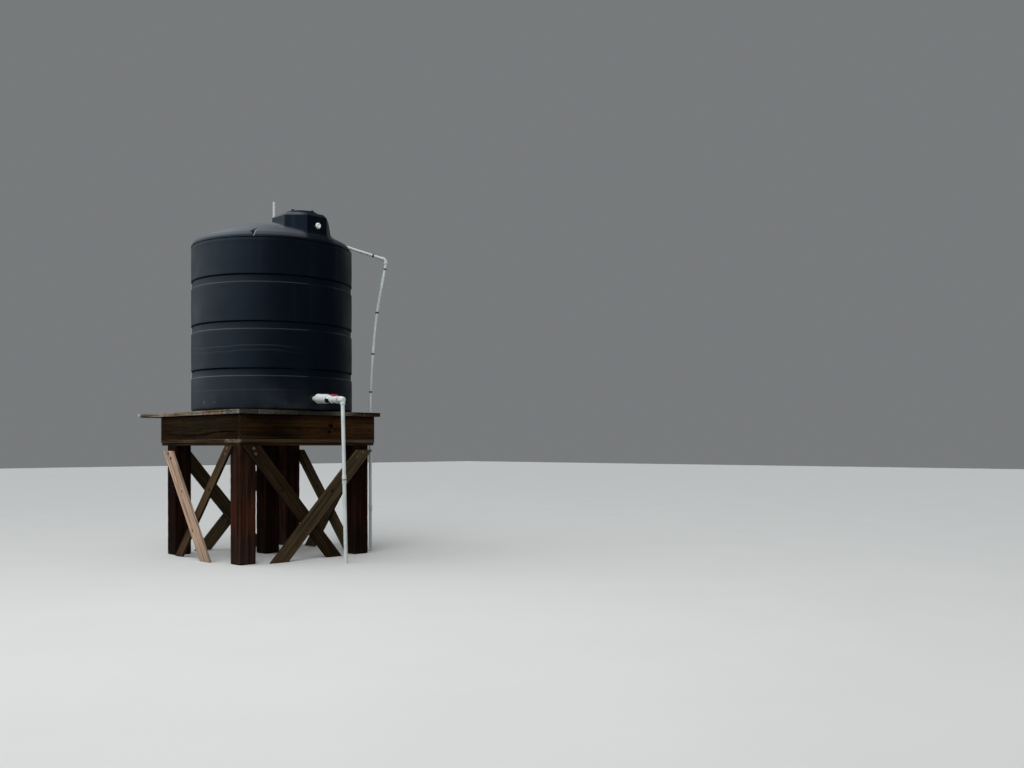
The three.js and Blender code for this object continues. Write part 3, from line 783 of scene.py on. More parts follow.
RIM_CRACKS = {
    "rim_front": [([(-0.35, 1.752), (0.05, 1.760), (0.62, 1.742)], 0.006, 0.003),
                  ([(0.50, 1.690), (0.80, 1.675), (1.02, 1.690)], 0.006, 0.003)],
    "rim_left": [([(0.98, 1.688), (0.65, 1.674), (0.22, 1.660), (-0.19, 1.675), (-0.45, 1.698),
                   (-0.79, 1.702), (-1.02, 1.699)], 0.013, 0.008),
                 ([(0.55, 1.650), (0.10, 1.642), (-0.35, 1.668)], 0.007, 0.004)],
}


def on_rim(name, run, height):
    """A point on a rim board's outer face."""
    low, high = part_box(name)
    return {"rim_front": (run, low.y, height), "rim_left": (low.x, run, height),
            "rim_back": (run, high.y, height), "rim_right": (high.x, run, height)}[name]


def left_rim_tints(x, y, z, tone, red, grey):
    """Brown olive, redder towards both ends, with a dirty lower edge. Its tone is kept below the front rim's
    as painted shade, with a painted shadow along its top under the deck boards.
    """
    low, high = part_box("rim_left")
    ends = 0.5 * bell(y, -1.02, 0.28) + 0.6 * bell(y, 1.00, 0.30)
    red[:] = np.clip(ends + 0.5 * bell(z, low.z + 0.03, 0.05), 0, 1)
    # Painted shade: a low tone overall, and a painted shadow along the top under the deck boards.
    tone *= 0.48 - 0.32 * bell(z, high.z, 0.035) - 0.14 * bell(y, -1.02, 0.2)
    tone *= 1.0 - 0.4 * bell(y, 1.08, 0.12)


def front_rim_tints(x, y, z, tone, red, grey):
    """Reddish brown, most saturated in the middle, and darker at its left end, with a painted shadow along
    its top under the deck.
    """
    red[:] = 0.40 + 0.45 * bell(x, 0.30, 0.38)
    tone *= 0.80 - 0.50 * bell(x, -0.55, 0.45)
    # Painted shadow along the top, under the deck boards.
    tone *= 1.0 - 0.6 * bell(z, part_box("rim_front")[1].z, 0.03)


def build_rims():
    tints = {"rim_left": left_rim_tints, "rim_front": front_rim_tints}
    for i, name in enumerate(RIM_KNOTS):
        shown = name in tints
        knots = [(on_rim(name, run, z), size) for run, z, size in RIM_KNOTS[name]]
        eyes = [(on_rim(name, run, z), *sizes) for run, z, *sizes in RIM_EYES[name]]
        cracks = [([on_rim(name, *point) for point in line], reach, depth)
                  for line, reach, depth in RIM_CRACKS.get(name, ())]
        timber(name, BOARD_WOOD, "board_timber", SEEDS["rim"] + i, step=0.012 if shown else 0.03,
               across=0.007 if shown else 0.014, tone=(1.0, 0.35, 0.0), knots=knots, eyes=eyes,
               cracks=cracks, splits=3 if shown else 9, deep=0.004, tints=tints.get(name))
    for i in range(JOISTS):
        timber(f"joist_{i + 1}", BOARD_WOOD, "board_timber", SEEDS["joist"] + i, edge=0.003, step=0.08,
               across=0.03, tone=(0.8, 0.2, 0.0), splits=3)


def deck_tints(x, y, z, tone, red, grey):
    """Grey at the exposed edges, darker under the tank. The front edge is painted dark as painted shade, with
    a grey stretch.
    """
    out = np.hypot(x - TANK_AXIS.x, y - TANK_AXIS.y) - TANK_R
    tone *= (0.62 + 0.5 * ramp(out, 0, 0.15)) * np.where(x > -0.6, 0.62, 1.0)
    grey[:] = (0.3 + 0.5 * ramp(out, 0, 0.2)) * np.where(x > 0.3, 0.5, 1.0)
    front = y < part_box("deck_board_1")[0].y + 0.004
    shown = bell(x, 0.48, 0.16)
    right = ramp(x, 0.60, 0.08)
    top = ramp(z, DECK_TOP - 0.034, 0.012)
    # Painted shade: the boards' front ends are darkened, most at the top of the right part.
    tone *= np.where(front, 0.38 + 0.55 * shown - 0.30 * right * top, 1.0)
    red[:] = np.where(front, 0.8 * right, red)
    grey[:] = np.where(front, 0.3 + 0.5 * shown - 0.3 * right, grey)


def short_board_tints(x, y, z, tone, red, grey):
    """White grey at its inner end, pinkish in the middle and greenish grey in front, with its front end face
    painted dark as painted shade.
    """
    patch = wavy(y, 3, 14.0)
    front = ramp(y, -0.68, -0.02)
    inner = ramp(y, -0.24, 0.08)
    red[:] = np.clip(0.85 - 0.5 * patch, 0, 1) * (1 - front) * (1 - 0.8 * inner)
    grey[:] = np.clip(0.30 + 0.5 * patch + 0.35 * front + 0.45 * inner, 0, 1)
    shade = 0.68 - 0.16 * front + 0.10 * inner + 0.35 * patch + 0.30 * bell(y, -1.07, 0.03)
    # Painted shade: the last few millimetres at the front end drop to a fifth of the tone.
    tone *= 0.2 + shade * ramp(y, -1.112, 0.008)


def long_board_tints(x, y, z, tone, red, grey):
    """Pale at its far end, then dark and knotty, then grey, and tan and pink towards the tank."""
    far = ramp(y, 1.66, 0.03)
    knotty = bell(y, 1.53, 0.10)
    red[:] = np.clip(0.65 - 0.7 * np.abs((y - 0.55) / 0.6), 0, 1)
    grey[:] = np.clip(0.35 + 0.6 * far + 0.35 * knotty + 0.3 * wavy(y, 5, 6.0), 0, 1)
    tone *= 0.88 + 0.45 * far - 0.40 * knotty + 0.20 * wavy(y, 8, 8.0)


# Knots on the deck boards' left faces: place along the board, height and size
SHORT_BOARD_KNOTS = [(-0.343, 1.958, 0.013), (-0.190, 1.948, 0.010), (-0.79, 1.955, 0.010),
                     (-0.90, 1.962, 0.013)]
LONG_BOARD_KNOTS = [(1.60, 1.952, 0.013), (1.46, 1.940, 0.012), (0.62, 1.955, 0.010)]


def build_deck():
    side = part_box("deck_board_1")[0].x
    short_knots = [((side, y, z), size) for y, z, size in SHORT_BOARD_KNOTS]
    long_knots = [((side, y, z), size) for y, z, size in LONG_BOARD_KNOTS]
    for i in range(DECK_BOARDS):
        own = {"tints": deck_tints}
        if i == 0:
            own = {"step": 0.010, "across": 0.010, "knots": short_knots, "tints": short_board_tints}
        timber(f"deck_board_{i + 1}", DECK_WOOD, "deck_timber", SEEDS["deck"] + i, edge=0.006,
               tone=(0.95, 0.15, 0.4), splits=6, wear=1.6, **own)
    grid = part_of(corners_of("deck_board_long"), b=(0, 1.2))
    timber("deck_board_long", DECK_WOOD, "deck_timber", SEEDS["deck"] + DECK_BOARDS, grid, edge=0.005,
           step=0.010, across=0.010, tone=(1.05, 0.3, 0.3), knots=long_knots, splits=9, deep=0.007, wear=2.2,
           tints=long_board_tints)


def prop_tints(x, y, z, tone, red, grey):
    """Sunlit and pale, dirtier towards the ground."""
    tone *= 0.72 + 0.28 * ramp(z, 0, 0.45)
    grey[:] = 0.15 + 0.35 * np.exp(-z / 0.25)


# The way that each slanting plank faces, and its tone, redness and greyness
BRACES = {
    # The inner front brace's low tone is painted shade.
    "brace_front_inner": ((0, -1, 0), (0.30, 0.25, 0.0)),
    "brace_front_outer": ((0, -1, 0), (0.80, 0.2, 0.1)),
    "brace_left": ((-1, 0, 0), (0.66, 0.40, 0.10)),
    "prop_left": ((-1, 0, 0), (0.80, 0.0, 0.35)),
    "brace_back_inner": ((0, 1, 0), (0.9, 0.2, 0.1)),
    "brace_back_outer": ((0, 1, 0), (0.95, 0.2, 0.2)),
    "brace_right_inner": ((1, 0, 0), (0.8, 0.2, 0.1)),
    "brace_right_outer": ((1, 0, 0), (0.9, 0.2, 0.15)),
}


def build_braces():
    for i, (name, (_, tone)) in enumerate(BRACES.items()):
        grid = corners_of(name)
        knots = [(tuple(inside(grid, share, a, b)), size) for b in (0, 1)
                 for share, a, size in ((0.62, 0.4, 0.016), (0.27, 0.65, 0.013))]
        looks = (BRACE_WOOD, "brace_timber", None)
        if name == "prop_left":
            looks = (SUNLIT_PROP_WOOD, "prop_timber", prop_tints)
        finish, slot, tints = looks
        timber(name, finish, slot, SEEDS["brace"] + i, grid, step=0.02, across=0.012, tone=tone, knots=knots,
               splits=7, deep=0.004, tints=tints)


def face_point(grid, share, outward, a):
    """A point on a slanting plank's outer side, at a share of its length."""
    return max((inside(grid, share, a, b) for b in (0.0, 1.0)), key=lambda p: float(np.dot(p, outward)))


def add_bolt(shape, place, axis):
    """A hexagon bolt head on its washer."""
    washer = [(-0.001, BOLT_R * 1.7), (0.0025, BOLT_R * 1.7), (0.0035, BOLT_R * 1.6)]
    shape.turned(place, axis, washer, 20)
    shape.turned(place, axis, [(0.003, BOLT_R), (0.009, BOLT_R), (0.011, BOLT_R * 0.86)], 6)


def add_nail(shape, place, axis):
    """A round nail head, driven nearly flush."""
    shape.turned(place, axis, [(-0.004, NAIL_R), (0.001, NAIL_R), (0.002, NAIL_R * 0.7)], 10)


def build_fasteners():
    """Bolts at the braces' tops, and nails in the rim boards and the deck boards' ends."""
    bolts = Shape()
    for name, (outward, _) in BRACES.items():
        for share, a in ((0.975, 0.5), (0.93, 0.38)):
            add_bolt(bolts, face_point(corners_of(name), share, outward, a), outward)
    bolts.piece("brace_bolts", [STEEL], None, angle=25)
    nails = Shape()
    low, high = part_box("rim_front")
    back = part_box("rim_back")[1].y
    for z in (low.z + 0.05, (low.z + high.z) / 2, high.z - 0.05):
        for x in (low.x + 0.02, low.x + 0.075, high.x - 0.02, high.x - 0.075):
            add_nail(nails, (x, low.y, z), (0, -1, 0))
            add_nail(nails, (x, back, z), (0, 1, 0))
        for y in (-0.52, 0.0, 0.52):
            add_nail(nails, (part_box("rim_left")[0].x, y, z), (-1, 0, 0))
            add_nail(nails, (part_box("rim_right")[1].x, y, z), (1, 0, 0))
    for i in range(DECK_BOARDS):
        low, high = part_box(f"deck_board_{i + 1}")
        for x in (low.x + 0.05, high.x - 0.05):
            add_nail(nails, (x, low.y + 0.065, high.z), (0, 0, 1))
            add_nail(nails, (x, high.y - 0.04, high.z), (0, 0, 1))
    nails.piece("stand_nails", [NAIL_STEEL], None, angle=25)


def dome_height(x, y):
    """Height of the dome's crown over the deck, at a place given from the tank's axis."""
    return DOME_TOP - CAP_R + np.sqrt(CAP_R ** 2 - x ** 2 - y ** 2)


def tank_profile():
    """The tank's outline as (radius, height) pairs, from the dome's top down to the foot."""
    reach = [CROWN_FINE * i / 22 for i in range(1, 22)]
    reach += [CROWN_FINE + (CROWN_END - CROWN_FINE) * i / 12 for i in range(12)]
    crown = [(r, float(dome_height(r, 0))) for r in reach]
    lip = SHOULDER_Z + 0.008
    previous = lip - 0.040
    # Each corner of the wall, with the size of its bend
    wall = [
        (*crown[-1], 0), (CROWN_END, SHOULDER_Z + 0.083, 0.012), (1.1005, SHOULDER_Z + 0.036, 0.02),
        (TANK_R - 0.0005, lip, 0.005), (TANK_R - 0.001, lip - 0.006, 0.003),
        (TANK_R - 0.007, lip - 0.009, 0.004), (TANK_R - 0.006, lip - 0.022, 0.006),
        (TANK_R - 0.0005, previous, 0.02),
    ]
    for i in reversed(range(BAND_COUNT)):
        low = FIRST_BAND + i * BAND_PITCH - BAND_DROP
        top = low + BAND_HEIGHT
        high = top + BAND_LEDGE
        for k in range(1, 8):
            z = previous + (high + 0.02 - previous) * k / 8
            wall.append((TANK_R - 0.0035 * (1 - math.sin(math.pi * k / 8)), z, 0.03))
        wall += [(TANK_R - 0.001, high, 0.004), (TANK_R - BAND_DEPTH, top, 0.005),
                 (TANK_R - BAND_DEPTH, low, 0.005), (TANK_R - 0.001, low - BAND_SLOPE, 0.006)]
        previous = low - BAND_SLOPE - 0.02
    wall += [(TANK_R, previous * 0.5, 0.05), (TANK_R, FOOT_R, 0.02),
             (TANK_R - 0.3 * FOOT_R, 0.3 * FOOT_R, 0.01), (TANK_R - FOOT_R, 0.0, 0.01), (0.05, 0.0, 0)]
    smooth = rounded([(r, z) for r, z, _ in wall], [size for _, _, size in wall], 3)
    return crown + [tuple(p) for p in smooth[1:]]


def notch_sink(radius, height, across):
    """Depth of a tie notch at a place on the shoulder: a wide facet on the left of a narrow one.
    The second number is above 0 on the wide facet, which is painted dark as painted shade, and below 0 on the
    narrow one, which gets a painted highlight."""
    run = ramp(radius, NOTCH_TOP_R, TANK_R - NOTCH_TOP_R)
    away = across - np.interp(run, [0, 0.6, 0.88, 1], [0.019, 0.011, 0.0, -0.006])
    left = NOTCH_LEFT * np.clip(np.interp(run, [0, 0.75, 0.97], [0, 1, 0]), 0.03, 1)
    slope = np.where(away < 0, 1 + away / left, 1 - away / NOTCH_RIGHT)
    depth = np.clip(slope, 0, 1) * ramp(run, 0, 0.20) * ramp(height, SHOULDER_Z + NOTCH_FOOT_Z, 0.012)
    facet_shading = np.where(away < 0.001, 0.9, -0.9 * ramp(run, 0.30, 0.25))
    return NOTCH_DEPTH * depth, np.clip(depth * 12, 0, 1) * facet_shading


def build_tank():
    profile = np.array(tank_profile())
    radius, height = profile.T
    slope = np.gradient(profile, axis=0)
    slope /= np.hypot(*slope.T)[:, None]
    out_r, out_z = -slope[:, 1], slope[:, 0]
    middles = NOTCH_TURN + turns(NOTCH_COUNT)
    near_notches = np.mod(np.add.outer(middles, np.linspace(-0.085, 0.045, 40)).ravel(), math.tau)
    angles = np.unique(np.round(np.concatenate([turns(TANK_SIDES), near_notches]), 6))
    rings = np.zeros((len(profile), len(angles), 3))
    notch_shading = np.zeros(rings.shape[:2])
    for j, angle in enumerate(angles):
        c, s = math.cos(angle), math.sin(angle)
        sway = np.array([noise.noise(Vector((c * 1.6, s * 1.6, z * 1.3))) for z in height])
        sink = TANK_SWAY * (1 + sway) * np.minimum(1.0, radius / 0.3)
        for middle in middles:
            off = (angle - middle + math.pi) % math.tau - math.pi
            if abs(off) < 0.12:
                depth, notch_shading[:, j] = notch_sink(radius, height, off * 1.04)
                sink += depth
        r = radius - sink * np.abs(out_r)
        z = np.where(height > 0.03, height - sink * np.maximum(0, -out_z * np.sign(out_r)), height)
        rings[:, j] = np.column_stack([TANK_AXIS.x + r * c, TANK_AXIS.y + r * s, DECK_TOP + z])
    shape = Shape().rings(rings, layers={"notch_shading": notch_shading.ravel()})
    solids = [f"tank_wall_{i + 1}" for i in range(WALL_SEGMENTS)] + ["tank_floor", "tank_dome"]
    shape.piece("tank_shell", [TANK_PLASTIC], "tank_plastic", solids, angle=50)


def octagon(flats, corner):
    """Points round an octagon with rounded corners, a flat side towards -Y."""
    angles = turns(8) + math.pi / 8
    tips = np.column_stack([np.cos(angles), np.sin(angles)]) * flats / 2 / math.cos(math.pi / 8)
    points = []
    for before, here, after in zip(np.roll(tips, 1, 0), tips, np.roll(tips, -1, 0)):
        back, on = (way / np.linalg.norm(way) * corner for way in (before - here, after - here))
        points += [bent(here + back, here, here + on, k / 5) for k in range(6)]
        points += [here + on + (after - here - 2 * on) * k / 6 for k in range(1, 6)]
    return np.array(points)


def build_turret():
    outline = octagon(TURRET_FLATS, TURRET_CORNER)
    away = outline / np.linalg.norm(outline, axis=1)[:, None]
    turn = np.degrees(np.arctan2(outline[:, 1], outline[:, 0]))
    leaning = np.clip((67.5 - np.abs(turn)) / 45, 0, 1)
    offset = np.array([TURRET_AXIS.x - TANK_AXIS.x, TURRET_AXIS.y - TANK_AXIS.y])
    rings = []

    def ring(flat, heights):
        share = ramp(heights, TURRET_TOP - 0.30, 0.25)
        flat = flat.copy()
        flat[:, 0] += leaning * (TURRET_LEAN_OUT * (1 - share) - TURRET_LEAN_IN * share)
        rings.append(np.column_stack([flat + np.array(TURRET_AXIS.xy), DECK_TOP + heights]))

    def on_dome(flat):
        out = np.hypot(*(flat + offset).T)
        crown = dome_height(*((flat + offset) * np.minimum(1, 1.05 / out)[:, None]).T)
        drop = np.clip(out - SHOULDER_REACH, 0, SHOULDER_R - 0.002)
        return np.where(out < 1.055, crown, SHOULDER_Z + np.sqrt(SHOULDER_R ** 2 - drop ** 2))

    for k in range(7):
        rise = math.pi / 2 * k / 6
        flat = outline + away * TURRET_FLARE * (1 - math.sin(rise))
        ring(flat, on_dome(flat) + (TURRET_FLARE * (1 - math.cos(rise)) if k else -0.008))
    base = rings[-1][:, 2] - DECK_TOP
    bevel_low = TURRET_TOP - TURRET_BEVEL
    wall_top = bevel_low - 0.012
    for k in range(1, 7):
        ring(outline, base + (wall_top - base) * k / 6)
    half = TURRET_FLATS / 2
    rim_end = TURRET_BEVEL + 0.03
    rim = [(0.0, wall_top), (0.0, bevel_low), (TURRET_BEVEL, TURRET_TOP), (rim_end, TURRET_TOP)]
    level = np.ones(len(outline))
    for inset, z in rounded(rim, 0.010)[1:]:
        ring(outline * (half - inset) / half, z * level)
    mouth = away * (LID_R - 0.022)
    plate = outline * (half - rim_end) / half
    for k in (0.5, 1.0):
        ring(plate + (mouth - plate) * k, TURRET_TOP * level)
    ring(mouth * 0.99, (TURRET_TOP - 0.08) * level)
    Shape().rings(rings).piece("turret_shell", [TANK_PLASTIC], "tank_plastic", ["manway_turret"], angle=50)


def build_lid():
    """The round lid, with grip ribs round its skirt and four low lugs on top. It turns with its body."""
    angles = turns(LID_RIBS * 6)
    rib = 0.5 + 0.5 * np.cos(angles * LID_RIBS)
    skirt = LID_SKIRT
    profile = rounded([
        (0.03, 0.0), (LID_R, 0.0), (LID_R, skirt), (LID_R * 0.86, skirt + 0.010),
        (LID_R * 0.80, skirt + 0.004), (LID_R * 0.60, skirt + 0.020), (0.02, skirt + LID_RISE),
    ], [0, 0.004, 0.012, 0.01, 0.01, 0.03, 0])
    rings = []
    for r, z in profile:
        on_skirt = r > LID_R * 0.97 and 0.002 < z < skirt
        radius = r - 0.005 * (1 - rib) * on_skirt
        rings.append(np.column_stack([radius * np.cos(angles), radius * np.sin(angles), z + 0 * angles]))
    place = np.array([TURRET_AXIS.x, TURRET_AXIS.y, DECK_TOP + TURRET_TOP + CLEARANCE])
    shape = Shape().rings(np.array(rings) + place)
    foot = skirt - 0.02
    for i in range(LUG_COUNT):
        a = math.pi / LUG_COUNT * (2 * i + 0.35)
        along = np.array([math.cos(a), math.sin(a), 0])
        across = np.array([-math.sin(a), math.cos(a), 0])
        rings = []
        for s in np.linspace(-1, 1, 15):
            top = skirt - 0.004 + 0.034 * max((1 - abs(s) ** 4) ** 0.5, 0.12)
            centre = place + along * (LID_R - 0.048 + 0.034 * s)
            section = rounded([(-0.014, foot), (-0.010, top), (0.010, top), (0.014, foot)], 0.006, 3)
            rings.append([centre + across * u + np.array([0, 0, z]) for u, z in section])
        shape.rings(rings)
    shape.piece("lid_top", [TANK_PLASTIC], "tank_plastic", ["manway_lid"], body="lid", angle=50)


def build_tank_fittings():
    low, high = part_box("turret_fitting")
    centre = ((low.x + high.x) / 2, high.y, (low.z + high.z) / 2)
    radius = (high.x - low.x) / 2
    deep = high.y - low.y
    face = rounded([
        (0.0, radius * 0.9), (0.002, radius), (0.011, radius), (0.011, radius * 0.8), (deep, radius * 0.74),
        (deep, radius * 0.5), (deep - 0.006, radius * 0.4), (deep - 0.006, 0.004),
    ], 0.003, 3)
    shape = Shape().turned(centre, (0, -1, 0), face, 48)
    shape.piece("white_fitting", [FITTING_PLASTIC], "pipe_plastic", ["turret_fitting"])

    low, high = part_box("vent_pipe")
    x, y = (low.x + high.x) / 2, (low.y + high.y) / 2
    base = DECK_TOP + float(dome_height(x - TANK_AXIS.x, y - TANK_AXIS.y))
    pipe = [(base - 0.01, PIPE_R), (high.z - 0.0015, PIPE_R), (high.z, PIPE_R - 0.0015),
            (high.z, PIPE_R - 0.0035), (high.z - 0.12, PIPE_R - 0.004), (high.z - 0.121, 0.001)]
    collar = rounded([(base - 0.012, 0.040), (base + 0.010, 0.040), (base + 0.014, 0.028),
                      (base + 0.030, 0.0265), (base + 0.030, 0.02)], 0.003, 3)
    shape = Shape().turned((x, y, 0), (0, 0, 1), pipe, 32)
    shape.turned((x, y, 0), (0, 0, 1), collar, 32, 1)
    shape.piece("vent_tube", [WHITE_PLASTIC, BLACK_RUBBER], "pipe_plastic", ["vent_pipe"])


WALL_Y = -math.sqrt(TANK_R ** 2 - OUTLET_X ** 2) - CLEARANCE
OUTLET = (Matrix.Translation(TANK_AXIS + Vector((OUTLET_X, WALL_Y, OUTLET_Z)))
          @ Matrix.Rotation(OUTLET_DROOP, 4, "X"))
OUTLET_AXIS = (OUTLET.to_3x3() @ Vector((0, -1, 0))).normalized()
OUTLET_UP = (OUTLET.to_3x3() @ Vector((0, 0, 1))).normalized()


def on_outlet(distance, up=0.0, side=0.0):
    """A point at a distance from the wall, up and to the side of the outlet line."""
    return OUTLET @ Vector((side, -distance, up))


def half_sleeve(start, end):
    """Rings of a half sleeve over the outlet line, open below. It sinks towards the valve."""
    angles = np.linspace(-SLEEVE_REACH, SLEEVE_REACH, 19)
    loop = [(math.sin(a) * SLEEVE_OUTER_R, math.cos(a) * SLEEVE_OUTER_R) for a in angles]
    loop += [(math.sin(a) * SLEEVE_INNER_R, math.cos(a) * SLEEVE_INNER_R) for a in angles[::-1]]
    steps = [(0.0, 0.96), (0.004, 1.0), (end - start - 0.004, 1.0), (end - start, 0.96)]
    sink = VALVE_SINK / (end - start)
    return [[tuple(on_outlet(start + d, up=up * s - sink * d, side=side * s)) for side, up in loop]
            for d, s in steps]


def axis_points(origin, profile):
    """The point on the outlet line that each ring of a turned form goes round."""
    return np.array([origin + OUTLET_AXIS * d for d, _ in profile])[:, None, :]


def sheared(rings, profile, origin, none, whole, amount, below=False):
    """Slide a form's rings along the outlet line by their height: not at all at one distance, and
    wholly at another."""
    height = (rings - axis_points(origin, profile)) @ np.array(OUTLET_UP)
    if below:
        height = np.minimum(height, 0)
    share = np.clip([(d - none) / (whole - none) for d, _ in profile], 0, 1)[:, None]
    return rings + (height * share * amount)[:, :, None] * np.array(OUTLET_AXIS)


def build_coupling():
    """The black flange and nut at the wall, the large coupling, and the thread under its half sleeve. The
    thread and a disc on the coupling's end are black, as painted shade in the gap before the valve.
    """
    start, end = COUPLING_START, COUPLING_END
    origin = on_outlet(0)
    shape = Shape()
    shape.turned(origin, OUTLET_AXIS, [(-0.006, STUB_R), (start + 0.02, STUB_R)], 32)
    flange = rounded([(-0.004, FLANGE_R), (0.010, FLANGE_R), (0.010, 0.035)], 0.003)
    shape.turned(origin, OUTLET_AXIS, flange, 8, 1)
    nut = rounded([(0.009, 0.048), (0.030, 0.048), (0.032, 0.03)], 0.003)
    shape.turned(origin, OUTLET_AXIS, nut, 6, 1)
    barrel = [(start, STUB_R - 0.002)]
    barrel += [(d, COUPLING_R * share) for d, share in (
        (start, 0.93), (start + 0.004, 1.0), (start + 0.034, 1.0), (start + 0.038, 0.965),
        (end - 0.052, 0.955), (end - 0.048, 0.97), (end - 0.006, 0.93), (end, 0.9))]
    barrel = rounded(barrel + [(end, NECK_R - 0.006)], 0.003, 3)
    # A black disc on the coupling's end: painted shade in its open mouth.
    face = [(end - 0.001, 0.020), (end - 0.001, 0.055), (end + 0.002, 0.055), (end + 0.002, 0.020)]
    for profile, slot in ((barrel, 0), (face, 1)):
        rings = turned(origin, OUTLET_AXIS, profile, 48)
        rings = sheared(rings, profile, origin, end - 0.070, end - 0.010, COUPLING_SHEAR, below=True)
        shape.rings(rings, slot)
    # The thread is black: painted shade in the gap under the half sleeve.
    thread = [(end - 0.050, NECK_R - 0.008), (NUT_START + 0.018, NECK_R - 0.008)]
    shape.turned(origin, OUTLET_AXIS, thread, 40, 1)
    shape.rings(half_sleeve(end - 0.006, NUT_START - 0.008))
    shape.piece("outlet_couplings", [WHITE_PLASTIC, BLACK_RUBBER], "pipe_plastic", ["outlet_fitting"])


def build_valve():
    """The ball valve between its two grip nuts, its stem and the elbow. Gives the elbow's lower end, and
    the way from there to the drop pipe's foot."""
    shape = Shape()
    origin = on_outlet(0, up=-VALVE_SINK)
    third = (VALVE_END - VALVE_START) / 3
    for start, end in ((NUT_START, VALVE_START + third), (VALVE_END - third, VALVE_END)):
        nut = rounded([(start, NECK_R - 0.01), (start, VALVE_R * 0.95), (start + 0.004, VALVE_R),
                       (end - 0.004, VALVE_R), (end, VALVE_R * 0.95), (end, NECK_R - 0.01)], 0.003, 3)
        grip = 1 - 0.025 * (np.cos(turns(96) * NUT_GRIPS) < -0.2)
        centre = axis_points(origin, nut)
        rings = centre + (turned(origin, OUTLET_AXIS, nut, 96) - centre) * grip[None, :, None]
        if start == NUT_START:
            rings = sheared(rings, nut, origin, end, start, -NUT_SHEAR)
        shape.rings(rings)
    body = rounded([
        (VALVE_START + third * 0.8, NECK_R), (VALVE_START + third, VALVE_BODY_R * 0.92),
        (VALVE_MIDDLE, VALVE_BODY_R), (VALVE_END - third, VALVE_BODY_R * 0.92),
        (VALVE_END - third * 0.8, NECK_R),
    ], 0.02, 5)
    shape.turned(origin, OUTLET_AXIS, body, 48)
    collar = VALVE_BODY_R + 0.004
    stem = [(0.0, STEM_R), (collar, STEM_R), (collar, 0.014), (VALVE_BODY_R + HANDLE_LIFT, 0.014)]
    shape.turned(on_outlet(VALVE_MIDDLE, up=-VALVE_SINK), OUTLET_UP, stem, 32)
    # A black ring between the valve and the elbow: painted shade in the gap between them.
    shape.turned(origin, OUTLET_AXIS, [(VALVE_END - 0.002, 0.041), (VALVE_END + 0.018, 0.041)], 48, 1)
    elbow = rounded([
        (VALVE_END + 0.014, 0.040), (VALVE_END + 0.014, 0.0465), (VALVE_END + 0.030, 0.0470),
        (ELBOW_AXIS - 0.012, 0.0455), (ELBOW_AXIS + 0.024, 0.035), (ELBOW_AXIS + 0.031, 0.010),
    ], [0, 0.003, 0.003, 0.03, 0.02, 0], 6)
    shape.turned(origin, OUTLET_AXIS, elbow, 48)
    drop_top = on_outlet(ELBOW_AXIS, up=-VALVE_SINK)
    down = (DROP_FOOT - drop_top).normalized()
    deep = 0.062
    socket = [(0.0, 0.030), (0.040, 0.0335), (0.058, 0.0325), (deep, 0.031), (deep, DROP_R)]
    shape.turned(drop_top, down, rounded(socket, 0.003, 3), 36)
    shape.piece("outlet_valve_body", [WHITE_PLASTIC, BLACK_RUBBER], "pipe_plastic", ["outlet_valve"])
    return drop_top + down * deep, down


def build_handle():
    """The red T handle on the valve's stem. It turns with its body."""
    centre = on_outlet(VALVE_MIDDLE, up=VALVE_BODY_R + HANDLE_LIFT + CLEARANCE - VALVE_SINK)
    up = np.array(OUTLET_UP)
    along = np.array([1.0, 0.0, 0.0])
    across = np.cross(up, along)
    shape = Shape()
    hub = rounded([(0.0, 0.012), (0.0, 0.024), (0.012, 0.022), (0.016, 0.016), (0.016, 0.002)], 0.003, 3)
    shape.turned(centre, up, hub, 32)
    skirt = rounded([(0.002, 0.0265), (-0.0048, 0.0275), (-0.0048, 0.0195), (0.002, 0.0195)], 0.002, 2)
    shape.turned(centre, up, skirt, 32)
    rings = []
    for s in np.linspace(-1, 1, 25):
        round_end = math.sqrt(max(0.0, 1 - max(0.0, (abs(s) - 0.86) / 0.14) ** 2))
        half_w = (0.0115 + 0.0045 * s ** 2) * max(0.25, round_end)
        top = 0.0175 - 0.003 * (1 - abs(s))
        foot = -0.002 + 0.003 * abs(s)
        section = [(-half_w, foot), (-half_w, top - 0.004), (-half_w * 0.6, top), (half_w * 0.6, top),
                   (half_w, top - 0.004), (half_w, foot)]
        middle = np.array(centre) + along * HANDLE_REACH * s
        rings.append([middle + across * u + up * z for u, z in section])
    shape.rings(rings)
    shape.piece("valve_handle_bar", [RED_PLASTIC], "handle_plastic", ["valve_handle"], body="handle")


def build_drop_pipe(top, down):
    """The drop pipe, with the joint and the strap part of the way down."""
    shape = Shape()
    path = [top - down * 0.02, top.lerp(DROP_FOOT, 0.33), top.lerp(DROP_FOOT, 0.66), DROP_FOOT]
    rings = swept(path, DROP_R, 32)
    rings[-1][:, 2] = DROP_FOOT.z
    shape.rings(rings)
    joint = top.lerp(DROP_FOOT, (top.z - DROP_FITTING_Z) / (top.z - DROP_FOOT.z))
    collar = [(d, DROP_R + rise) for d, rise in (
        (-0.055, -0.002), (-0.055, 0.0045), (-0.004, 0.0055),
        (0.004, 0.0055), (0.055, 0.0045), (0.055, -0.002))]
    shape.turned(joint, down, rounded(collar, 0.003, 3), 32)
    strap = [(-0.006, DROP_R), (-0.006, DROP_R + 0.008), (0.006, DROP_R + 0.008), (0.006, DROP_R)]
    shape.turned(joint, down, strap, 32, 1)
    shape.piece("drop_tube", [WHITE_PLASTIC, STEEL], "pipe_plastic", ["drop_pipe"])


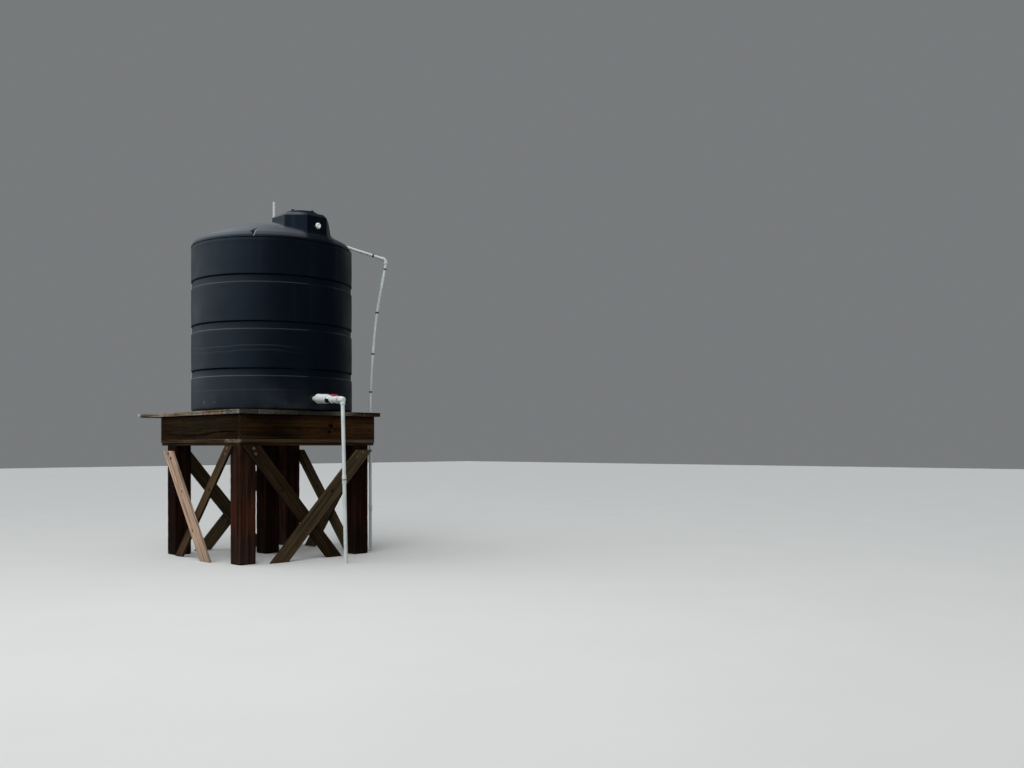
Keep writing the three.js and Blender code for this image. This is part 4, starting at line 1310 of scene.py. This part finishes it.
def riser_route(down, samples=14):
    """A smooth curve through the riser's points, with even pull by distance."""
    ends = [FILL_ELBOW + down * d for d in (FILL_ELBOW_REACH + 0.04, FILL_ELBOW_REACH + 2 * CLEARANCE)]
    points = [Vector(p) for p in RISER_PATH[:-1]] + ends
    points = [points[0] * 2 - points[1]] + points + [points[-1] * 2 - points[-2]]
    route = []
    for p0, p1, p2, p3 in zip(points, points[1:], points[2:], points[3:]):
        d0, d1, d2 = ((a - b).length ** 0.5 for a, b in ((p1, p0), (p2, p1), (p3, p2)))
        m1 = ((p1 - p0) / d0 - (p2 - p0) / (d0 + d1) + (p2 - p1) / d1) * d1
        m2 = ((p2 - p1) / d1 - (p3 - p1) / (d1 + d2) + (p3 - p2) / d2) * d1
        for t in (k / samples for k in range(samples)):
            a, b = 2 * t ** 3 - 3 * t ** 2 + 1, t ** 3 - 2 * t ** 2 + t
            route.append(p1 * a + m1 * b + p2 * (1 - a) + m2 * (t ** 3 - t ** 2))
    return route + [points[-2]]


def add_tie(shape, place, axis):
    """A black tie round a thin pipe, with its small head."""
    inner, outer = PIPE_R - 0.001, PIPE_R + 0.0025
    band = [(-0.010, inner), (-0.010, outer), (0.010, outer), (0.010, inner)]
    shape.turned(place, axis, rounded(band, 0.001, 2), 28, 1)
    side, _ = axis_frame(axis)
    head = np.array(place) + side * (PIPE_R + 0.004) - np.array(axis) * 0.006
    shape.rings(turned(head, axis, [(0, 0.006), (0.012, 0.006)], 4, math.pi / 4), 1)


def build_fill_line():
    down = (Vector(RISER_PATH[-1]) - FILL_ELBOW).normalized()
    inward = (FILL_ENTRY - FILL_ELBOW).normalized()
    route = riser_route(down)
    shape = Shape()
    rings = swept(route, PIPE_R, 28)
    rings[0][:, 2] = 0.0
    shape.rings(rings)
    for z in BAND_HEIGHTS:
        i = min(range(1, len(route) - 1), key=lambda k: abs(route[k].z - z))
        axis = (route[i + 1] - route[i - 1]).normalized()
        add_tie(shape, route[i] + axis * (z - route[i].z) / axis.z, axis)
    joint = [(-0.045, PIPE_R), (-0.045, PIPE_R + 0.005), (0.045, PIPE_R + 0.005), (0.045, PIPE_R)]
    shape.turned((route[0].x, route[0].y, RISER_JOINT_Z), (0, 0, 1), rounded(joint, 0.002, 2), 28)
    shape.piece("riser_tube", [WHITE_PLASTIC, BLACK_RUBBER], "pipe_plastic", ["riser_pipe"])

    shape = Shape()
    path = [FILL_ELBOW + down * FILL_ELBOW_REACH, FILL_ELBOW + down * 0.045]
    path += bend(FILL_ELBOW + down * 0.040, FILL_ELBOW, FILL_ELBOW + inward * 0.040)
    path += [FILL_ELBOW + inward * 0.045, FILL_ELBOW + inward * FILL_ELBOW_REACH]
    shape.rings(swept(path, 0.0262, 32))
    lip = rounded([(0.036, PIPE_R), (0.036, ELBOW_LIP_R), (FILL_ELBOW_REACH, ELBOW_LIP_R),
                   (FILL_ELBOW_REACH, PIPE_R)], 0.002, 3)
    for way in (down, inward):
        shape.turned(FILL_ELBOW, way, lip, 32)
    shape.piece("fill_elbow_body", [WHITE_PLASTIC], "pipe_plastic", ["fill_elbow"])

    start = FILL_ELBOW + inward * (FILL_ELBOW_REACH + CLEARANCE)
    shape = Shape().rings(swept([start - inward * 0.01, start.lerp(FILL_ENTRY, 0.5), FILL_ENTRY], PIPE_R, 28))
    add_tie(shape, start.lerp(FILL_ENTRY, FILL_BAND_SHARE), inward)
    shape.piece("fill_tube", [WHITE_PLASTIC, BLACK_RUBBER], "pipe_plastic", ["fill_pipe"])


def build_floor():
    """A wide pale floor, with a soft grain of its own."""
    n = Nodes(bpy.data.materials.new("pale_floor"))
    patch = n.noise(n.place(), scale=0.8, detail=4.0)
    colour = n.mix(patch, (0.80, 0.80, 0.785), (0.85, 0.85, 0.835))
    mesh = bpy.data.meshes.new("floor")
    corners = [(x * FLOOR_REACH, y * FLOOR_REACH, FLOOR_LEVEL)
               for x, y in ((-1, -1), (1, -1), (1, 1), (-1, 1))]
    mesh.from_pydata(corners, [], [(0, 1, 2, 3)])
    mesh.materials.append(n.finish(Base_Color=colour, Roughness=0.9))
    floor = bpy.data.objects.new("floor", mesh)
    floor.visible_glossy = False
    bpy.context.scene.collection.objects.link(floor)


def add_lamp(name, kind, place, power, colour, **settings):
    """A lamp that faces the tank's lower part and is not mirrored in the plastic."""
    data = bpy.data.lights.new(name, kind)
    data.energy = power
    data.color = colour
    for key, value in settings.items():
        setattr(data, key, value)
    lamp = bpy.data.objects.new(name, data)
    lamp.location = place
    lamp.rotation_euler = (LAMP_AIM - Vector(place)).to_track_quat("-Z", "Y").to_euler()
    lamp.visible_glossy = False
    bpy.context.scene.collection.objects.link(lamp)


def build_studio():
    """Soft daylight: a glow low behind on the left, a weaker one on the right, wide lamps above and in
    front, and a plain grey backdrop. Gloss shows only the glows, as open sky over dark surroundings."""
    n = Nodes(bpy.data.worlds.new("studio"))
    bpy.context.scene.world = n.owner
    way = n.add("ShaderNodeTexCoord", {}).outputs["Generated"]

    def glow(azimuth, elevation, low, high, strength):
        inputs = {0: way, 1: direction(azimuth, elevation)}
        toward = n.add("ShaderNodeVectorMath", inputs, operation="DOT_PRODUCT").outputs["Value"]
        return n.span(toward, low, high, 0.0, strength)

    sky = n.plus(glow(150, 24, 0.15, 0.97, 1.0), glow(30, 14, 0.60, 1.0, 0.16))
    light = n.plus(n.times(sky, n.span(n.split(way)["Z"], -0.06, 0.06)), 0.003)
    seen = n.add("ShaderNodeLightPath", {}).outputs["Is Camera Ray"]
    background = n.tree.nodes["Background"].inputs
    n.put(background["Strength"], n.span(seen, 0.0, 1.0, light, BACKDROP, "LINEAR"))
    n.put(background["Color"], (0.93, 0.97, 1.0))
    add_lamp("front_sky", "AREA", (-6.5, -6.5, 10.5), 420, (1.0, 0.99, 0.96), shape="DISK", size=7.0)
    add_lamp("high_sky", "SUN", (-1.5, -1.5, 14.0), 1.0, (0.97, 0.99, 1.0), angle=math.radians(110))


def make_camera():
    data = bpy.data.cameras.new("camera")
    data.lens = CAMERA_LENS
    data.shift_y = CAMERA_SHIFT
    camera = bpy.data.objects.new("camera", data)
    turn = Matrix.Rotation(CAMERA_HEADING - math.pi / 2, 4, "Z")
    tilt = Matrix.Rotation(math.pi / 2, 4, "X")
    roll = Matrix.Rotation(CAMERA_ROLL, 4, "Z")
    camera.matrix_world = Matrix.Translation(CAMERA_PLACE) @ turn @ tilt @ roll
    bpy.context.scene.collection.objects.link(camera)
    bpy.context.scene.camera = camera


make_camera()
build_floor()
build_studio()
bpy.context.scene.view_settings.view_transform = "Standard"
build_posts()
build_caps()
build_rims()
build_deck()
build_braces()
build_fasteners()
build_tank()
build_turret()
build_lid()
build_tank_fittings()
build_coupling()
elbow_foot, drop_way = build_valve()
build_handle()
build_drop_pipe(elbow_foot, drop_way)
build_fill_line()
